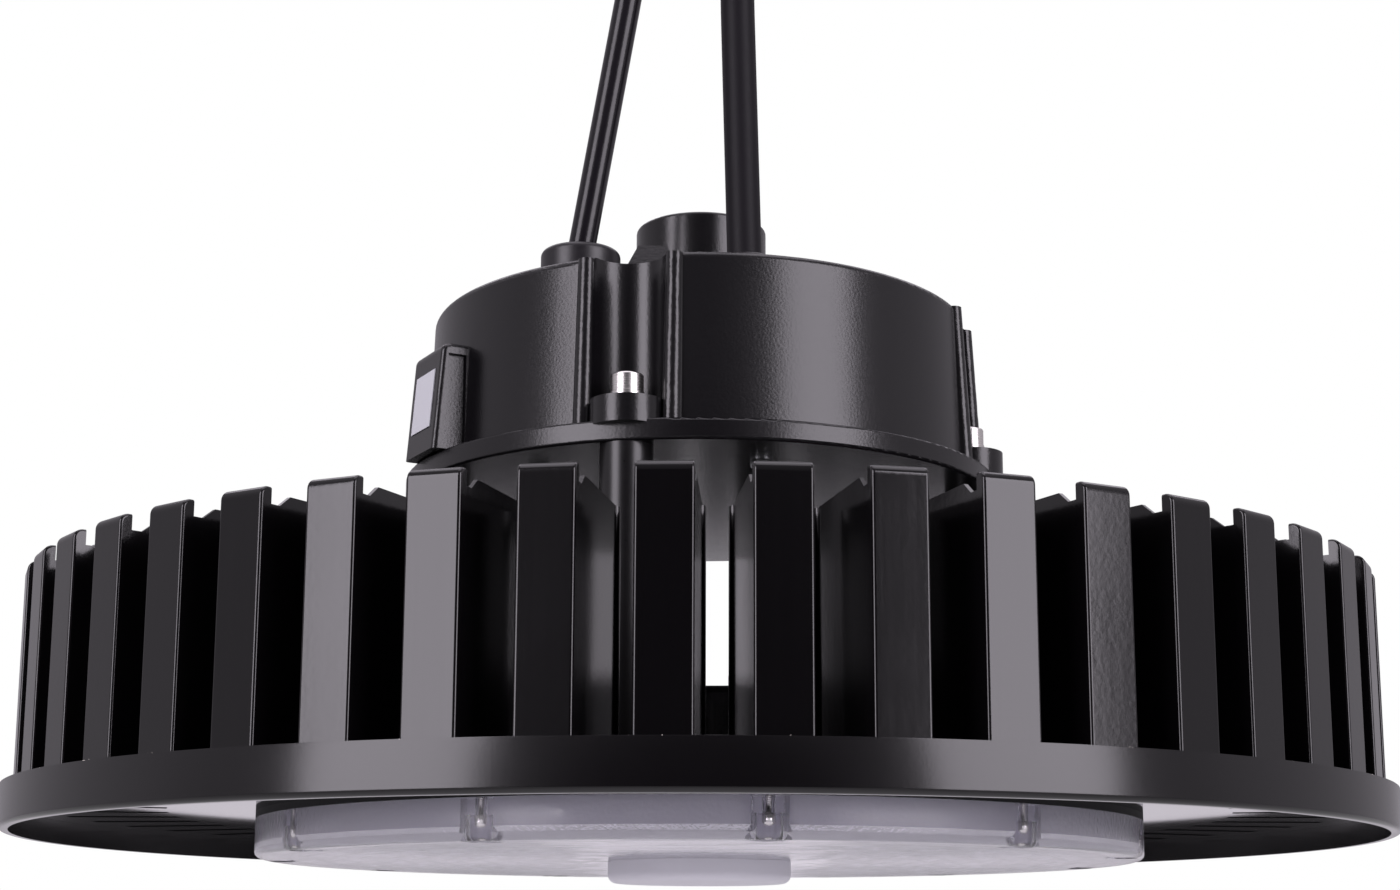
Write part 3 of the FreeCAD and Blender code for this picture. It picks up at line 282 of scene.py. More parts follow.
def paint_finish(look):
    """Gloss black paint with faint orange peel, drawn streaks and chipped feet."""
    finish = Finish("fin_gloss_black", look.paint, 0.1, specular_ior_level=0.5)
    streaks = finish.drawn(STREAK_CELLS)
    cloud = finish.noise(PAINT_CLOUD_CELLS, 3.0)
    finish.set("Roughness", 0.08 + streaks * 0.05 + cloud * 0.06)
    chips = rim_chips(finish, FIN_CHIP_REACH, FIN_CHIP_LEVEL)
    finish.set("Base Color", finish.blend(chips, look.paint, look.bare_metal))
    peel = finish.noise(ORANGE_PEEL_CELLS)
    finish.set("Normal", finish.bump(peel, 0.06, PEEL_DEPTH))
    return finish.material


def sheet_finish(name, look, roughness):
    """Black painted sheet with a soft grain, and chips along the rim."""
    finish = Finish(name, look.anodised, roughness)
    grain = finish.noise(SHEET_GRAIN_CELLS)
    cloud = finish.noise(SHEET_CLOUD_CELLS)
    chips = rim_chips(finish, RIM_CHIP_REACH, RIM_CHIP_LEVEL)
    finish.set("Base Color", finish.blend(chips, look.anodised, look.bare_metal))
    finish.set("Roughness", roughness * (0.6 + cloud * 0.5 + grain * 0.3))
    finish.set("Normal", finish.bump(grain, roughness * 0.3, GRAIN_DEPTH))
    return finish.material


def casting_finish(look):
    """Textured satin coating over a casting."""
    finish = Finish("cast_black", look.casting, 0.38)
    pebbles = finish.noise(PEBBLE_CELLS)
    cloud = finish.noise(CASTING_CLOUD_CELLS, 3.0)
    finish.set("Roughness", 0.17 + pebbles * 0.08 + cloud * 0.05)
    finish.set("Normal", finish.bump(pebbles, 0.24, PEBBLE_DEPTH))
    return finish.material


def steel_finish(name, base, roughness):
    """Turned metal with fine lines round it."""
    finish = Finish(name, base, roughness, 1.0)
    lines = finish.drawn(TURNING_CELLS)
    finish.set("Roughness", roughness - 0.06 + lines * 0.14)
    finish.set("Normal", finish.bump(lines, 0.08, TURNING_DEPTH))
    return finish.material


def clear_finish(look):
    """Clear polycarbonate with a moulded haze and polished flow streaks round its gate."""
    finish = Finish("clear_lens", look.clear, 0.04, transmission_weight=1.0, ior=PLASTIC_IOR)
    haze = finish.noise(LENS_HAZE_CELLS)
    across = finish.axis("X") * (1 / GATE_REACH)
    near_gate = finish.ramp(across * across, FADE)
    polish = finish.ramp(near_gate * finish.drawn(FLOW_CELLS), FLOW_STREAKS)
    finish.set("Roughness", (0.17 + haze * 0.1) * (1 - polish * 0.9))
    return finish.material


def pocket_finish(look):
    """The lens's screw pockets, which are a little smoother than its bottom."""
    finish = Finish("lens_pocket", look.clear, 0.03, transmission_weight=1.0, ior=PLASTIC_IOR)
    finish.set("Roughness", 0.09 + finish.noise(POCKET_CELLS) * 0.05)
    return finish.material


def frosted_finish(look):
    """The lens's inside, textured to blur what is behind it."""
    finish = Finish("lens_inside", look.haze, 0.5, transmission_weight=0.6, ior=PLASTIC_IOR)
    stipple = finish.noise(STIPPLE_CELLS)
    finish.set("Roughness", 0.42 + stipple * 0.16)
    finish.set("Normal", finish.bump(stipple, 0.3, STIPPLE_DEPTH))
    return finish.material


def plain_finish(name, base, roughness, grain=MOULDED_CELLS, depth=0.12, **constants):
    """A moulded or coated surface with fine grain."""
    finish = Finish(name, base, roughness, **constants)
    spots = finish.noise(grain)
    finish.set("Roughness", roughness - 0.05 + spots * 0.1)
    finish.set("Normal", finish.bump(spots, depth, GRAIN_DEPTH))
    return finish.material


def dress(node, material):
    """Give a node of the frame its finish."""
    shown = NODES[node]
    shown.data.materials.clear()
    shown.data.materials.append(material)


# Edges that turn by more than this stay sharp
SHARP_TURN = math.radians(35.0)
# Corners nearer to each other than this are one corner
WELD_REACH = 0.01 * MM


def smooth(mesh):
    """Shade a mesh smooth between its sharp edges."""
    for face in mesh.polygons:
        face.use_smooth = True
    mesh.set_sharp_from_angle(angle=SHARP_TURN)


def solids_of(node):
    """Lowest and highest corners of each separate solid of a node."""
    shape = bmesh.new()
    shape.from_mesh(NODES[node].data)
    bmesh.ops.remove_doubles(shape, verts=shape.verts, dist=WELD_REACH)
    waiting = set(shape.verts)
    boxes = []
    for seed in shape.verts:
        if seed not in waiting:
            continue
        waiting.discard(seed)
        front, group = [seed], []
        while front:
            vert = front.pop()
            group.append(vert.co)
            for edge in vert.link_edges:
                other = edge.other_vert(vert)
                if other in waiting:
                    waiting.discard(other)
                    front.append(other)
        boxes.append([Vector(pick(co[axis] for co in group) for axis in range(3))
                      for pick in (min, max)])
    shape.free()
    return boxes


def shell(name, shape, *materials):
    """An object from a bmesh, not yet a piece of the light."""
    bmesh.ops.recalc_face_normals(shape, faces=shape.faces)
    mesh = bpy.data.meshes.new(name)
    shape.to_mesh(mesh)
    shape.free()
    for material in materials:
        mesh.materials.append(material)
    made = bpy.data.objects.new(name, mesh)
    bpy.context.scene.collection.objects.link(made)
    return made


def carve(made, tool, operation):
    """Join a tool to an object, or cut it away, and remove the tool."""
    step = made.modifiers.new(operation.lower(), "BOOLEAN")
    step.object = tool
    step.operation = operation
    step.solver = "EXACT"
    seen = made.evaluated_get(bpy.context.evaluated_depsgraph_get())
    mesh = bpy.data.meshes.new_from_object(seen)
    made.modifiers.clear()
    made.data = mesh
    bpy.data.objects.remove(tool)


def seat(made, slot, *replaced):
    """Make an object a piece that rides on the light and stands for the named nodes."""
    smooth(made.data)
    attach(made, "root")
    if replaced:
        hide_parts(*replaced)
    return made


# Segments round a turned piece, unless it names its own
TURNED_SEGMENTS = 48


def lathe(shape, profile, place, segments=TURNED_SEGMENTS, shift=None, closed=False,
          index=None):
    """Turn a profile of (radius, height) about an upright axis.

    shift moves a point of the profile at an angle, and index picks a face's material."""
    rows = []
    for radius, height in profile:
        row = []
        for step in range(segments if radius > 0 else 1):
            angle = 2 * math.pi * step / segments
            reach, level = shift(angle, radius, height) if shift else (radius, height)
            row.append(shape.verts.new(place @ Vector(
                (reach * math.cos(angle), reach * math.sin(angle), level))))
        rows.append(row)
    pairs = list(zip(rows, rows[1:]))
    if closed:
        pairs.append((rows[-1], rows[0]))
    for number, (lower, upper) in enumerate(pairs):
        for step in range(segments):
            after = (step + 1) % segments
            corners = [lower[step % len(lower)], lower[after % len(lower)],
                       upper[after % len(upper)], upper[step % len(upper)]]
            unique = list(dict.fromkeys(corners))
            if len(unique) > 2:
                face = shape.faces.new(unique)
                face.material_index = index(number) if index else 0


ROWS_A_TURN = 4
THREAD_DEPTH = 0.12


def threads(radius, top, foot, pitch):
    """Rows of a threaded shank and the shift that turns them into a helix."""
    count = max(int(abs(top - foot) / pitch * ROWS_A_TURN), 2)
    rows = [(radius, top + (foot - top) * step / count) for step in range(count + 1)]

    def shift(angle, at, height):
        if abs(at - radius) > 1e-9:
            return at, height
        turn = (height / pitch + angle / (2 * math.pi)) % 1.0
        return at * (1 - THREAD_DEPTH * abs(2 * turn - 1)), height
    return rows, shift


PAN_SEGMENTS = 32
# Rings of a pan head's crown, closest together where the cross recess ends
CROWN_RINGS = (0.0, 0.1, 0.2, 0.3, 0.4, 0.5, 0.56, 0.62, 0.74, 0.86, 0.94)
# How far the crown falls to its rim, and the head's side below it, as shares of the head's
# radius and of its height
CROWN_FALL = 0.3
HEAD_SIDE = ((1.0, 0.52), (1.0, 0.12), (0.97, 0.0))
# The cross recess, as shares of the head's radius and of its height
CROSS_REACH = 0.58
CROSS_WIDTH = 0.15
CROSS_DEPTH = 0.55
CROSS_LEVEL = 0.6
# The shank: how much of its reach is threaded, and its tip as a share of its radius
THREADED_SHARE = 0.96
TIP_SHARE = 0.6


def pan_screw(shape, under_head, head, rise, shank, reach, pitch):
    """A pan-head screw with a cross recess, its head down and its shank up."""
    place = Matrix.Translation(under_head) @ Matrix.Rotation(math.pi, 4, "X")
    crown = [(head * share, rise * (1 - CROWN_FALL * share ** 3)) for share in CROWN_RINGS]
    side = [(head * share, rise * level) for share, level in HEAD_SIDE]
    rows, helix = threads(shank, 0.0, -reach * THREADED_SHARE, pitch)
    tip = [(shank * TIP_SHARE, -reach), (0.0, -reach)]

    def shift(angle, at, height):
        across = min(abs(math.cos(angle)), abs(math.sin(angle))) * at
        on_crown = height > rise * CROSS_LEVEL
        if on_crown and at < head * CROSS_REACH and across < head * CROSS_WIDTH:
            return at, height - rise * CROSS_DEPTH * (1 - at / head)
        return helix(angle, at, height)

    lathe(shape, crown + side + rows + tip, place, PAN_SEGMENTS, shift)


# A cap screw's rounded edge as a share of the head's radius, and the drill's cone under its
# socket as a share of the key's width
CAP_EDGE_SHARE = 0.09
DRILL_CONE_SHARE = 0.2


def socket_screw(shape, under_head, head, rise, key, sunk):
    """A cap screw's head with a hex socket in its top."""
    corner = math.pi / 3

    def shift(angle, at, height):
        if at != key:
            return at, height
        return key / 2 / math.cos((angle + corner / 2) % corner - corner / 2), height

    edge = head * CAP_EDGE_SHARE
    profile = [(0.0, rise - sunk - key * DRILL_CONE_SHARE), (key, rise - sunk), (key, rise),
               (head - edge * 1.6, rise), (head - edge * 0.6, rise - edge * 0.35),
               (head, rise - edge * 1.2), (head, edge * 0.5), (head - edge * 0.5, 0.0),
               (0.0, 0.0)]
    lathe(shape, profile, Matrix.Translation(under_head), shift=shift)


WASHER_STEPS = 44
WASHER_HALF_GAP = math.radians(7.0)
WASHER_SLANT = math.radians(3.0)
WASHER_SPREAD = 0.224 * MM


def split_washer(shape, centre, foot, inner, outer, thick):
    """A spring washer: a ring with a slanted cut, its ends a little apart in height."""
    rings = []
    for step in range(WASHER_STEPS + 1):
        share = step / WASHER_STEPS
        angle = WASHER_HALF_GAP + (2 * math.pi - 2 * WASHER_HALF_GAP) * share
        lift = foot + WASHER_SPREAD * (share - 0.5)
        ring = []
        for radius, level, lean in ((inner, 0.0, -1), (outer, 0.0, -1), (outer, thick, 1),
                                    (inner, thick, 1)):
            tilt = angle + (WASHER_SLANT * lean if step in (0, WASHER_STEPS) else 0.0)
            ring.append(shape.verts.new((centre.x + radius * math.cos(tilt),
                                         centre.y + radius * math.sin(tilt), lift + level)))
        rings.append(ring)
    for before, after in zip(rings, rings[1:]):
        for corner in range(4):
            following = (corner + 1) % 4
            shape.faces.new([before[corner], before[following], after[following],
                             after[corner]])
    shape.faces.new(rings[0])
    shape.faces.new(rings[-1])


# Steps along a lead between its points, and round a quarter of it
LEAD_STEPS = 24
LEAD_ROUND_STEPS = 8


def lead(name, points, diameter, material, node):
    """A taut lead along given points, in place of the lead node that it hides."""
    curve = bpy.data.curves.new(name, "CURVE")
    curve.dimensions = "3D"
    spline = curve.splines.new("NURBS")
    spline.points.add(len(points) - 1)
    for control, point in zip(spline.points, points):
        control.co = (*point, 1.0)
    spline.order_u = 3
    spline.use_endpoint_u = True
    spline.resolution_u = LEAD_STEPS
    curve.bevel_depth = diameter / 2
    curve.bevel_resolution = LEAD_ROUND_STEPS
    curve.use_fill_caps = True
    curve.materials.append(material)
    piece = bpy.data.objects.new(name, curve)
    bpy.context.scene.collection.objects.link(piece)
    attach(piece, "root")
    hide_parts(node)
    return piece


PLUG_TAIL = 11 * MM
# Radii of a connector's ribs, beyond its nut's own: their roots, seams and crests
RIB_ROOT = -0.2 * MM
RIB_SEAM = 0.1 * MM
RIB_CREST = 0.7 * MM
RIB_BEVEL = 0.8 * MM
RIB_SEGMENTS = 6


def grip_ribs(name, node, material, tall, ribs):
    """Ribs round the nut of a connector, which is its widest stretch above the tail."""
    low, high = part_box(node)
    nut = (high.x - low.x) / 2
    root, seam, crest = nut + RIB_ROOT, nut + RIB_SEAM, nut + RIB_CREST

    def shift(angle, at, height):
        return (at if at < crest or math.cos(ribs * angle) > 0 else seam), height

    shape = bmesh.new()
    lathe(shape, [(root, 0.0), (seam, 0.0), (crest, RIB_BEVEL), (crest, tall - RIB_BEVEL),
                  (seam, tall), (root, tall)],
          Matrix.Translation(((low.x + high.x) / 2, (low.y + high.y) / 2, low.z + PLUG_TAIL)),
          ribs * RIB_SEGMENTS, shift, closed=True)
    return seat(shell(name, shape, material), "connector_plastic")


# The leads' routes, in metres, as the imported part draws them, and where they leave it
CONTROL_ROUTE = ((-0.03483, -0.042, -0.0298), (-0.02446, -0.042, 0.03258),
                 (-0.0174, -0.042, 0.075), (-0.0174, -0.042, 0.118))
MAINS_ROUTE = ((0.0122, -0.042, -0.0298), (0.01072, -0.042, 0.028),
               (0.0097, -0.042, 0.068), (0.0097, -0.042, 0.108))
# Height of each connector's nut and how many ribs it has
CONTROL_NUT = (10 * MM, 26)
MAINS_NUT = (14 * MM, 34)


RIM_WALL = 2.8 * MM
RIM_ROUND = 1.3 * MM
RIM_STEPS = 8
RIM_SEGMENTS = 360
# Width of the strips that keep the shading of flat and round apart
RIM_GUARD = 0.12 * MM


class HIGHBAY_OT_heat_sink(bpy.types.Operator):
    """Finish the fins, base plate and rim band"""
    bl_idname = "highbay.heat_sink"
    bl_label = "Heat Sink"

    def execute(self, context):
        look = finish_settings(context)
        dress("heat_sink_fins", paint_finish(look))
        dress("base_plate", sheet_finish("plate_black", look, 0.05))
        self.rim(sheet_finish("rim_black", look, 0.18))
        return {"FINISHED"}

    def rim(self, black):
        """The rim band, turned with a rounded foot and a barely broken upper edge."""
        low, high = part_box("rim_band")
        outer, inner = high.x, high.x - RIM_WALL
        foot, top = low.z, high.z
        round_foot = [(outer - RIM_ROUND * (1 - math.sin(turn)),
                       foot + RIM_ROUND * (1 - math.cos(turn)))
                      for turn in (math.pi / 2 * step / RIM_STEPS
                                   for step in range(RIM_STEPS + 1))]
        profile = [(inner, foot), (outer - RIM_ROUND - RIM_GUARD, foot), *round_foot,
                   (outer, foot + RIM_ROUND + RIM_GUARD), (outer, top - 2 * RIM_GUARD),
                   (outer - RIM_GUARD / 3, top - RIM_GUARD / 3), (outer - 2 * RIM_GUARD, top),
                   (inner, top)]
        shape = bmesh.new()
        lathe(shape, profile, Matrix.Identity(4), RIM_SEGMENTS, closed=True)
        seat(shell("rim_band_turned", shape, black), "anodised_black", "rim_band")


# Colours of the parts closed up in the driver
BOARD_GREEN = (0.02, 0.16, 0.06)
FERRITE_GREY = (0.05, 0.05, 0.055)


class HIGHBAY_OT_driver(bpy.types.Operator):
    """Finish the driver housing, its cover, posts, label and contents"""
    bl_idname = "highbay.driver"
    bl_label = "Driver"

    def execute(self, context):
        look = finish_settings(context)
        casting = casting_finish(look)
        dress("driver_housing", casting)
        dress("base_cover", casting)
        dress("mounting_posts", plain_finish("post_black", look.anodised, 0.3))
        dress("side_label", plain_finish("label_white", look.label, 0.45, LABEL_CELLS, 0.05))
        dress("driver_gasket", plain_finish("seal_black", look.seal, 0.7))
        dress("driver_board", plain_finish("board_green", BOARD_GREEN, 0.4))
        dress("driver_core", plain_finish("ferrite", FERRITE_GREY, 0.6))
        dress("driver_capacitors", steel_finish("can_metal", look.zinc, 0.35))
        return {"FINISHED"}


# Pan-head screws: piece, node, finish, slot, then head radius, head height, shank radius
# and pitch in millimetres
PAN_SCREWS = (
    ("lens_pan_screws", "lens_screws", "bright", "stainless", 2.4, 2.6, 1.3, 0.5),
    ("cover_pan_screws", "cover_screws", "zinc", "zinc_steel", 3.0, 2.0, 1.5, 0.5),
    ("post_pan_screws", "post_foot_screws", "zinc", "zinc_steel", 4.2, 1.8, 2.5, 0.8),
    ("board_pan_screws", "led_board_screws", "zinc", "zinc_steel", 3.0, 1.4, 1.5, 0.5),
)
# M5 cap screws and their washers
CAP_SHANK = 2.5 * MM
CAP_SHANK_SEGMENTS = 24
CAP_PITCH = 0.8 * MM
CAP_KEY = 4.0 * MM
CAP_KEY_DEPTH = 2.6 * MM
WASHER_HOLE = 2.8 * MM
SPRING_OUTER = 4.5 * MM
SPRING_THICK = 1.2 * MM
FLAT_EDGE = 0.15 * MM


class HIGHBAY_OT_screws(bpy.types.Operator):
    """Make the screws and washers with their recesses, threads and cuts"""
    bl_idname = "highbay.screws"
    bl_label = "Screws"

    def execute(self, context):
        look = finish_settings(context)
        steel = steel_finish("stainless", look.steel, 0.26)
        metals = {"bright": steel_finish("stainless_bright", look.steel, 0.14),
                  "zinc": steel_finish("zinc_plate", look.zinc, 0.3)}
        for name, node, metal, slot, head, rise, shank, pitch in PAN_SCREWS:
            shape = bmesh.new()
            for low, high in solids_of(node):
                under = Vector(((low.x + high.x) / 2, (low.y + high.y) / 2,
                                low.z + rise * MM))
                pan_screw(shape, under, head * MM, rise * MM, shank * MM, high.z - under.z,
                          pitch * MM)
            seat(shell(name, shape, metals[metal]), slot, node)
        self.cap_screws(steel)
        return {"FINISHED"}

    def cap_screws(self, steel):
        """Heads, threaded shanks and washers on the four lugs."""
        screws, flats, splits = bmesh.new(), bmesh.new(), bmesh.new()
        spring_low = solids_of("spring_washers")[0][0].z
        spring_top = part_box("spring_washers")[1].z
        for low, high in solids_of("lug_screws"):
            middle = Vector(((low.x + high.x) / 2, (low.y + high.y) / 2, spring_top))
            head = (high.x - low.x) / 2
            socket_screw(screws, middle, head, high.z - spring_top, CAP_KEY, CAP_KEY_DEPTH)
            rows, helix = threads(CAP_SHANK, 0.0, low.z - spring_top, CAP_PITCH)
            lathe(screws, [(0.0, 0.0), *rows, (0.0, low.z - spring_top)],
                  Matrix.Translation(middle), CAP_SHANK_SEGMENTS, helix)
            split_washer(splits, middle, spring_low, WASHER_HOLE, SPRING_OUTER, SPRING_THICK)
        for low, high in solids_of("flat_washers"):
            middle = Vector(((low.x + high.x) / 2, (low.y + high.y) / 2, low.z))
            outer, thick, edge = (high.x - low.x) / 2, high.z - low.z, FLAT_EDGE
            lathe(flats, [(WASHER_HOLE, 0.0), (outer - edge, 0.0), (outer, edge),
                          (outer, thick - edge), (outer - edge, thick), (WASHER_HOLE, thick)],
                  Matrix.Translation(middle), closed=True)
        seat(shell("socket_cap_screws", screws, steel), "stainless", "lug_screws")
        seat(shell("split_spring_washers", splits, steel), "stainless", "spring_washers")
        seat(shell("flat_ring_washers", flats, steel), "stainless", "flat_washers")


# The lens: its wall and floor, the hole for the cap's spigot and the rounds at its edges
LENS_WALL = 2.4 * MM
LENS_HOLE = 11.15 * MM
LENS_SEGMENTS = 300
LENS_STEPS = 80
LENS_INNER_ROUND = 1.2 * MM
LENS_FOOT_ROUND = ((1.6 * MM, 0.0), (0.75 * MM, 0.25 * MM), (0.2 * MM, 0.8 * MM),
                   (0.0, 1.6 * MM))
# Waves in its bottom, which run from outside the cap to short of the rim and are calmer
# beside the gate
WAVE_HEIGHT = 0.26 * MM
WAVE_LENGTH = 7.75 * MM
WAVE_START = 28.0 * MM
WAVE_MARGIN = 8.0 * MM
CALM_SHARE = 0.35
# Levels under this are the bottom, and those over it the inside
BOTTOM_LEVEL = 0.1 * MM
# Domes in its inside over the LEDs, looked up by sector
DOME_RISE = 1.1 * MM
DOME_RADIUS = 5.6 * MM
SECTORS = 36
SECTOR = 2 * math.pi / SECTORS
# Screw towers inside it and the pockets that are cut into them from below
TOWER_RADIUS = 5.4 * MM
TOWER_FOOT = 1.0 * MM
TOWER_GAP = 0.02 * MM
POCKET_RADIUS = 4.2 * MM
POCKET_MOUTH = -2.0 * MM
POCKET_SEAT = 6.2 * MM
SCREW_HOLE = 1.55 * MM
TOWER_SEGMENTS = 40
# Places of the lens's finishes in its material list
CLEAR, FROSTED, POCKET = 0, 1, 2
# LED packages
PACKAGE_SIZE = 3.0 * MM
PACKAGE_THICK = 0.8 * MM
PACKAGE_FRAME = 0.4 * MM
WINDOW_DEPTH = 0.12 * MM


class HIGHBAY_OT_optics(bpy.types.Operator):
    """Make the lens with its screw towers and domes, the cap, seal and LED board"""
    bl_idname = "highbay.optics"
    bl_label = "Optics"

    def execute(self, context):
        look = finish_settings(context)
        chips = [(low + high) / 2 for low, high in solids_of("led_chips")]
        self.lens((clear_finish(look), frosted_finish(look), pocket_finish(look)), chips)
        self.packages(look, chips)
        dress("lens_gasket", bpy.data.materials["seal_black"])
        dress("centre_cap", plain_finish("cap_grey", look.cap, 0.5))
        dress("led_board", plain_finish("board_white", look.board, 0.35))
        return {"FINISHED"}

    def chips_by_sector(self, chips):
        """For each sector round the axis, the LEDs whose domes may reach into it."""
        near = [[] for _ in range(SECTORS)]
        for chip in chips:
            flat = Vector((chip.x, chip.y))
            home = math.atan2(flat.y, flat.x) % (2 * math.pi)
            spread = math.asin(min(DOME_RADIUS / flat.length, 1.0)) + SECTOR
            for number in range(SECTORS):
                away = abs((number + 0.5) * SECTOR - home)
                if min(away, 2 * math.pi - away) < spread:
                    near[number].append(flat)
        return near

    def lens(self, finishes, chips):
        """A turned cup with domes over the LEDs, joined to towers and cut by screw pockets."""
        low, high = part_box("lens")
        foot, tall, rim = low.z, high.z - low.z, (high.x - low.x) / 2
        inner = rim - LENS_WALL
        near = self.chips_by_sector(chips)

        def shift(angle, at, height):
            if at < WAVE_START or at > rim - WAVE_MARGIN:
                return at, height
            if height < BOTTOM_LEVEL:
                calm = min((at * math.cos(angle) / GATE_REACH) ** 2, 1.0)
                ripple = WAVE_HEIGHT * (CALM_SHARE + (1 - CALM_SHARE) * calm)
                turn = (at - WAVE_START) / WAVE_LENGTH * 2 * math.pi
                return at, height + ripple * math.sin(turn)
            spot = Vector((at * math.cos(angle), at * math.sin(angle)))
            for chip in near[int(angle / SECTOR) % SECTORS]:
                gap = (spot - chip).length / DOME_RADIUS
                if gap < 1.0:
                    return at, height + DOME_RISE * (1 - gap * gap)
            return at, height

        flat = rim - LENS_FOOT_ROUND[0][0] - LENS_HOLE
        bottom = [(LENS_HOLE + flat * step / LENS_STEPS, 0.0)
                  for step in range(LENS_STEPS + 1)]
        side = [(rim - inset, level) for inset, level in LENS_FOOT_ROUND[1:]]
        side += [(rim, tall), (inner, tall), (inner, LENS_WALL + LENS_INNER_ROUND)]
        floor = inner - LENS_INNER_ROUND
        top = [(floor + (LENS_HOLE - floor) * step / LENS_STEPS, LENS_WALL)
               for step in range(LENS_STEPS + 1)]
        inside = len(bottom) + side.index((inner, tall))
        cup = bmesh.new()
        lathe(cup, bottom + side + top, Matrix.Translation((0.0, 0.0, foot)), LENS_SEGMENTS,
              shift, True, lambda number: FROSTED if number >= inside else CLEAR)
        towers, pockets = bmesh.new(), bmesh.new()
        for screw_low, screw_high in solids_of("lens_screws"):
            middle = Matrix.Translation(((screw_low.x + screw_high.x) / 2,
                                         (screw_low.y + screw_high.y) / 2, foot))
            lathe(towers, [(0.0, TOWER_FOOT), (TOWER_RADIUS, TOWER_FOOT),
                           (TOWER_RADIUS, tall - TOWER_GAP), (0.0, tall - TOWER_GAP)],
                  middle, TOWER_SEGMENTS, index=lambda number: FROSTED)
            lathe(pockets, [(0.0, POCKET_MOUTH), (POCKET_RADIUS, POCKET_MOUTH),
                            (POCKET_RADIUS, POCKET_SEAT), (SCREW_HOLE, POCKET_SEAT),
                            (SCREW_HOLE, tall + MM), (0.0, tall + MM)],
                  middle, TOWER_SEGMENTS, index=lambda number: POCKET)
        made = shell("lens_cover", cup, *finishes)
        carve(made, shell("lens_towers", towers, *finishes), "UNION")
        carve(made, shell("lens_pockets", pockets, *finishes), "DIFFERENCE")
        seat(made, "clear_lens", "lens")

    def packages(self, look, chips):
        """LED packages: a white frame round a sunk phosphor window."""
        shape = bmesh.new()
        block = Matrix.Diagonal((PACKAGE_SIZE, PACKAGE_SIZE, PACKAGE_THICK, 1.0))
        for chip in chips:
            turn = Matrix.Rotation(math.atan2(chip.x, -chip.y), 4, "Z")
            place = Matrix.Translation(chip) @ turn @ block
            corners = bmesh.ops.create_cube(shape, size=1.0, matrix=place)["verts"]
            faces = {face for vert in corners for face in vert.link_faces}
            window = min(faces, key=lambda face: face.calc_center_median().z)
            bmesh.ops.inset_individual(shape, faces=[window], thickness=PACKAGE_FRAME,
                                       depth=-WINDOW_DEPTH)
            window.material_index = 1
        body = plain_finish("package_white", look.board, 0.4)
        phosphor = plain_finish("phosphor", look.phosphor, 0.3)
        seat(shell("led_packages", shape, body, phosphor), "led_phosphor", "led_chips")


class HIGHBAY_OT_leads(bpy.types.Operator):
    """Lay the two leads and finish their glands and connectors"""
    bl_idname = "highbay.leads"
    bl_label = "Leads"

    def execute(self, context):
        look = finish_settings(context)
        sizes = context.scene.highbay_leads
        plastic = plain_finish("plastic_black", look.plastic, 0.36)
        for node in ("control_gland", "mains_gland", "control_connector", "mains_connector"):
            dress(node, plastic)
        glossy = plain_finish("control_sheath", look.sheath, 0.2, specular_ior_level=0.35)
        matte = plain_finish("mains_sheath", look.plastic, 0.5, specular_ior_level=0.15)
        control_ribs = grip_ribs("control_nut_ribs", "control_connector", plastic,
                                 *CONTROL_NUT)
        mains_ribs = grip_ribs("mains_nut_ribs", "mains_connector", plastic, *MAINS_NUT)
        lead("control_flex", CONTROL_ROUTE, sizes.control_diameter, glossy,
             "control_lead")
        lead("mains_flex", MAINS_ROUTE, sizes.mains_diameter, matte,
             "mains_lead")
        return {"FINISHED"}


# How much of the seen floor is plain white, so that its shadow stays soft
FLOOR_LIFT = 0.3
FLOOR_HALF = 9.0
# The faint lilac of the studio's light
STUDIO_TINT = (0.97, 0.91, 1.0)
# Level of the surround in reflections, from the camera's side (0) to behind the light (1)
STUDIO_DEPTH = [(0.0, 0.02), (0.02, 0.03), (0.05, 0.18), (0.33, 0.34), (0.5, 0.48),
                (0.93, 0.42), (1.0, 0.42)]
# What the white backdrop adds to that: up to the horizon (height), and only behind (depth)
BACKDROP_HEIGHT = [(0.0, 1.0), (0.51, 1.0), (0.54, 0.0)]
BACKDROP_DEPTH = [(0.93, 0.0), (0.985, 0.42)]
WHITE = (1.0, 1.0, 1.0)
# Area lamps: name, azimuth in degrees, distance and height of the stand, width and height
# of the panel in metres, and radiance
LAMPS = (
    ("left_box", -45.6, 2.3, 0.55, 1.2, 1.95, 5.6),
    ("right_box", 48.0, 2.3, 0.55, 1.28, 1.95, 5.4),
    ("top_box", 0.0, 0.01, 1.9, 1.8, 1.8, 1.3),
    ("back_left_box", -145.0, 1.9, 1.9, 0.9, 0.9, 1.4),
    ("back_right_box", 145.0, 1.9, 1.9, 0.9, 0.9, 1.4),
)
LAMP_TARGET = Vector((0.0, 0.0, -0.12))
CAMERA_PLACE = (-0.00005, -0.6042, -0.2119)
SENSOR_WIDTH = 36.0


def ray_kinds(graph):
    """Three values: 1 for rays from the camera, in reflections and through glass."""
    return [graph.node("ShaderNodeLightPath", output=kind)
            for kind in ("Is Camera Ray", "Is Glossy Ray", "Is Transmission Ray")]


def floor_finish(base):
    """A matte pale floor, partly plain white where it is seen."""
    finish = Finish("floor_pale", base, 0.8)
    white = finish.node("ShaderNodeEmission", None, {"Color": finish.rgba(WHITE)})
    lit = Wire(finish, finish.shader.outputs[0])
    camera, glossy, through = ray_kinds(finish)
    seen = camera.math("MAXIMUM", camera, camera.math("MAXIMUM", glossy, through))
    lifted = finish.node("ShaderNodeMixShader", None, {0: seen * FLOOR_LIFT, 1: lit, 2: white})
    finish.fill(finish.tree.nodes["Material Output"].inputs["Surface"], lifted)
    return finish.material


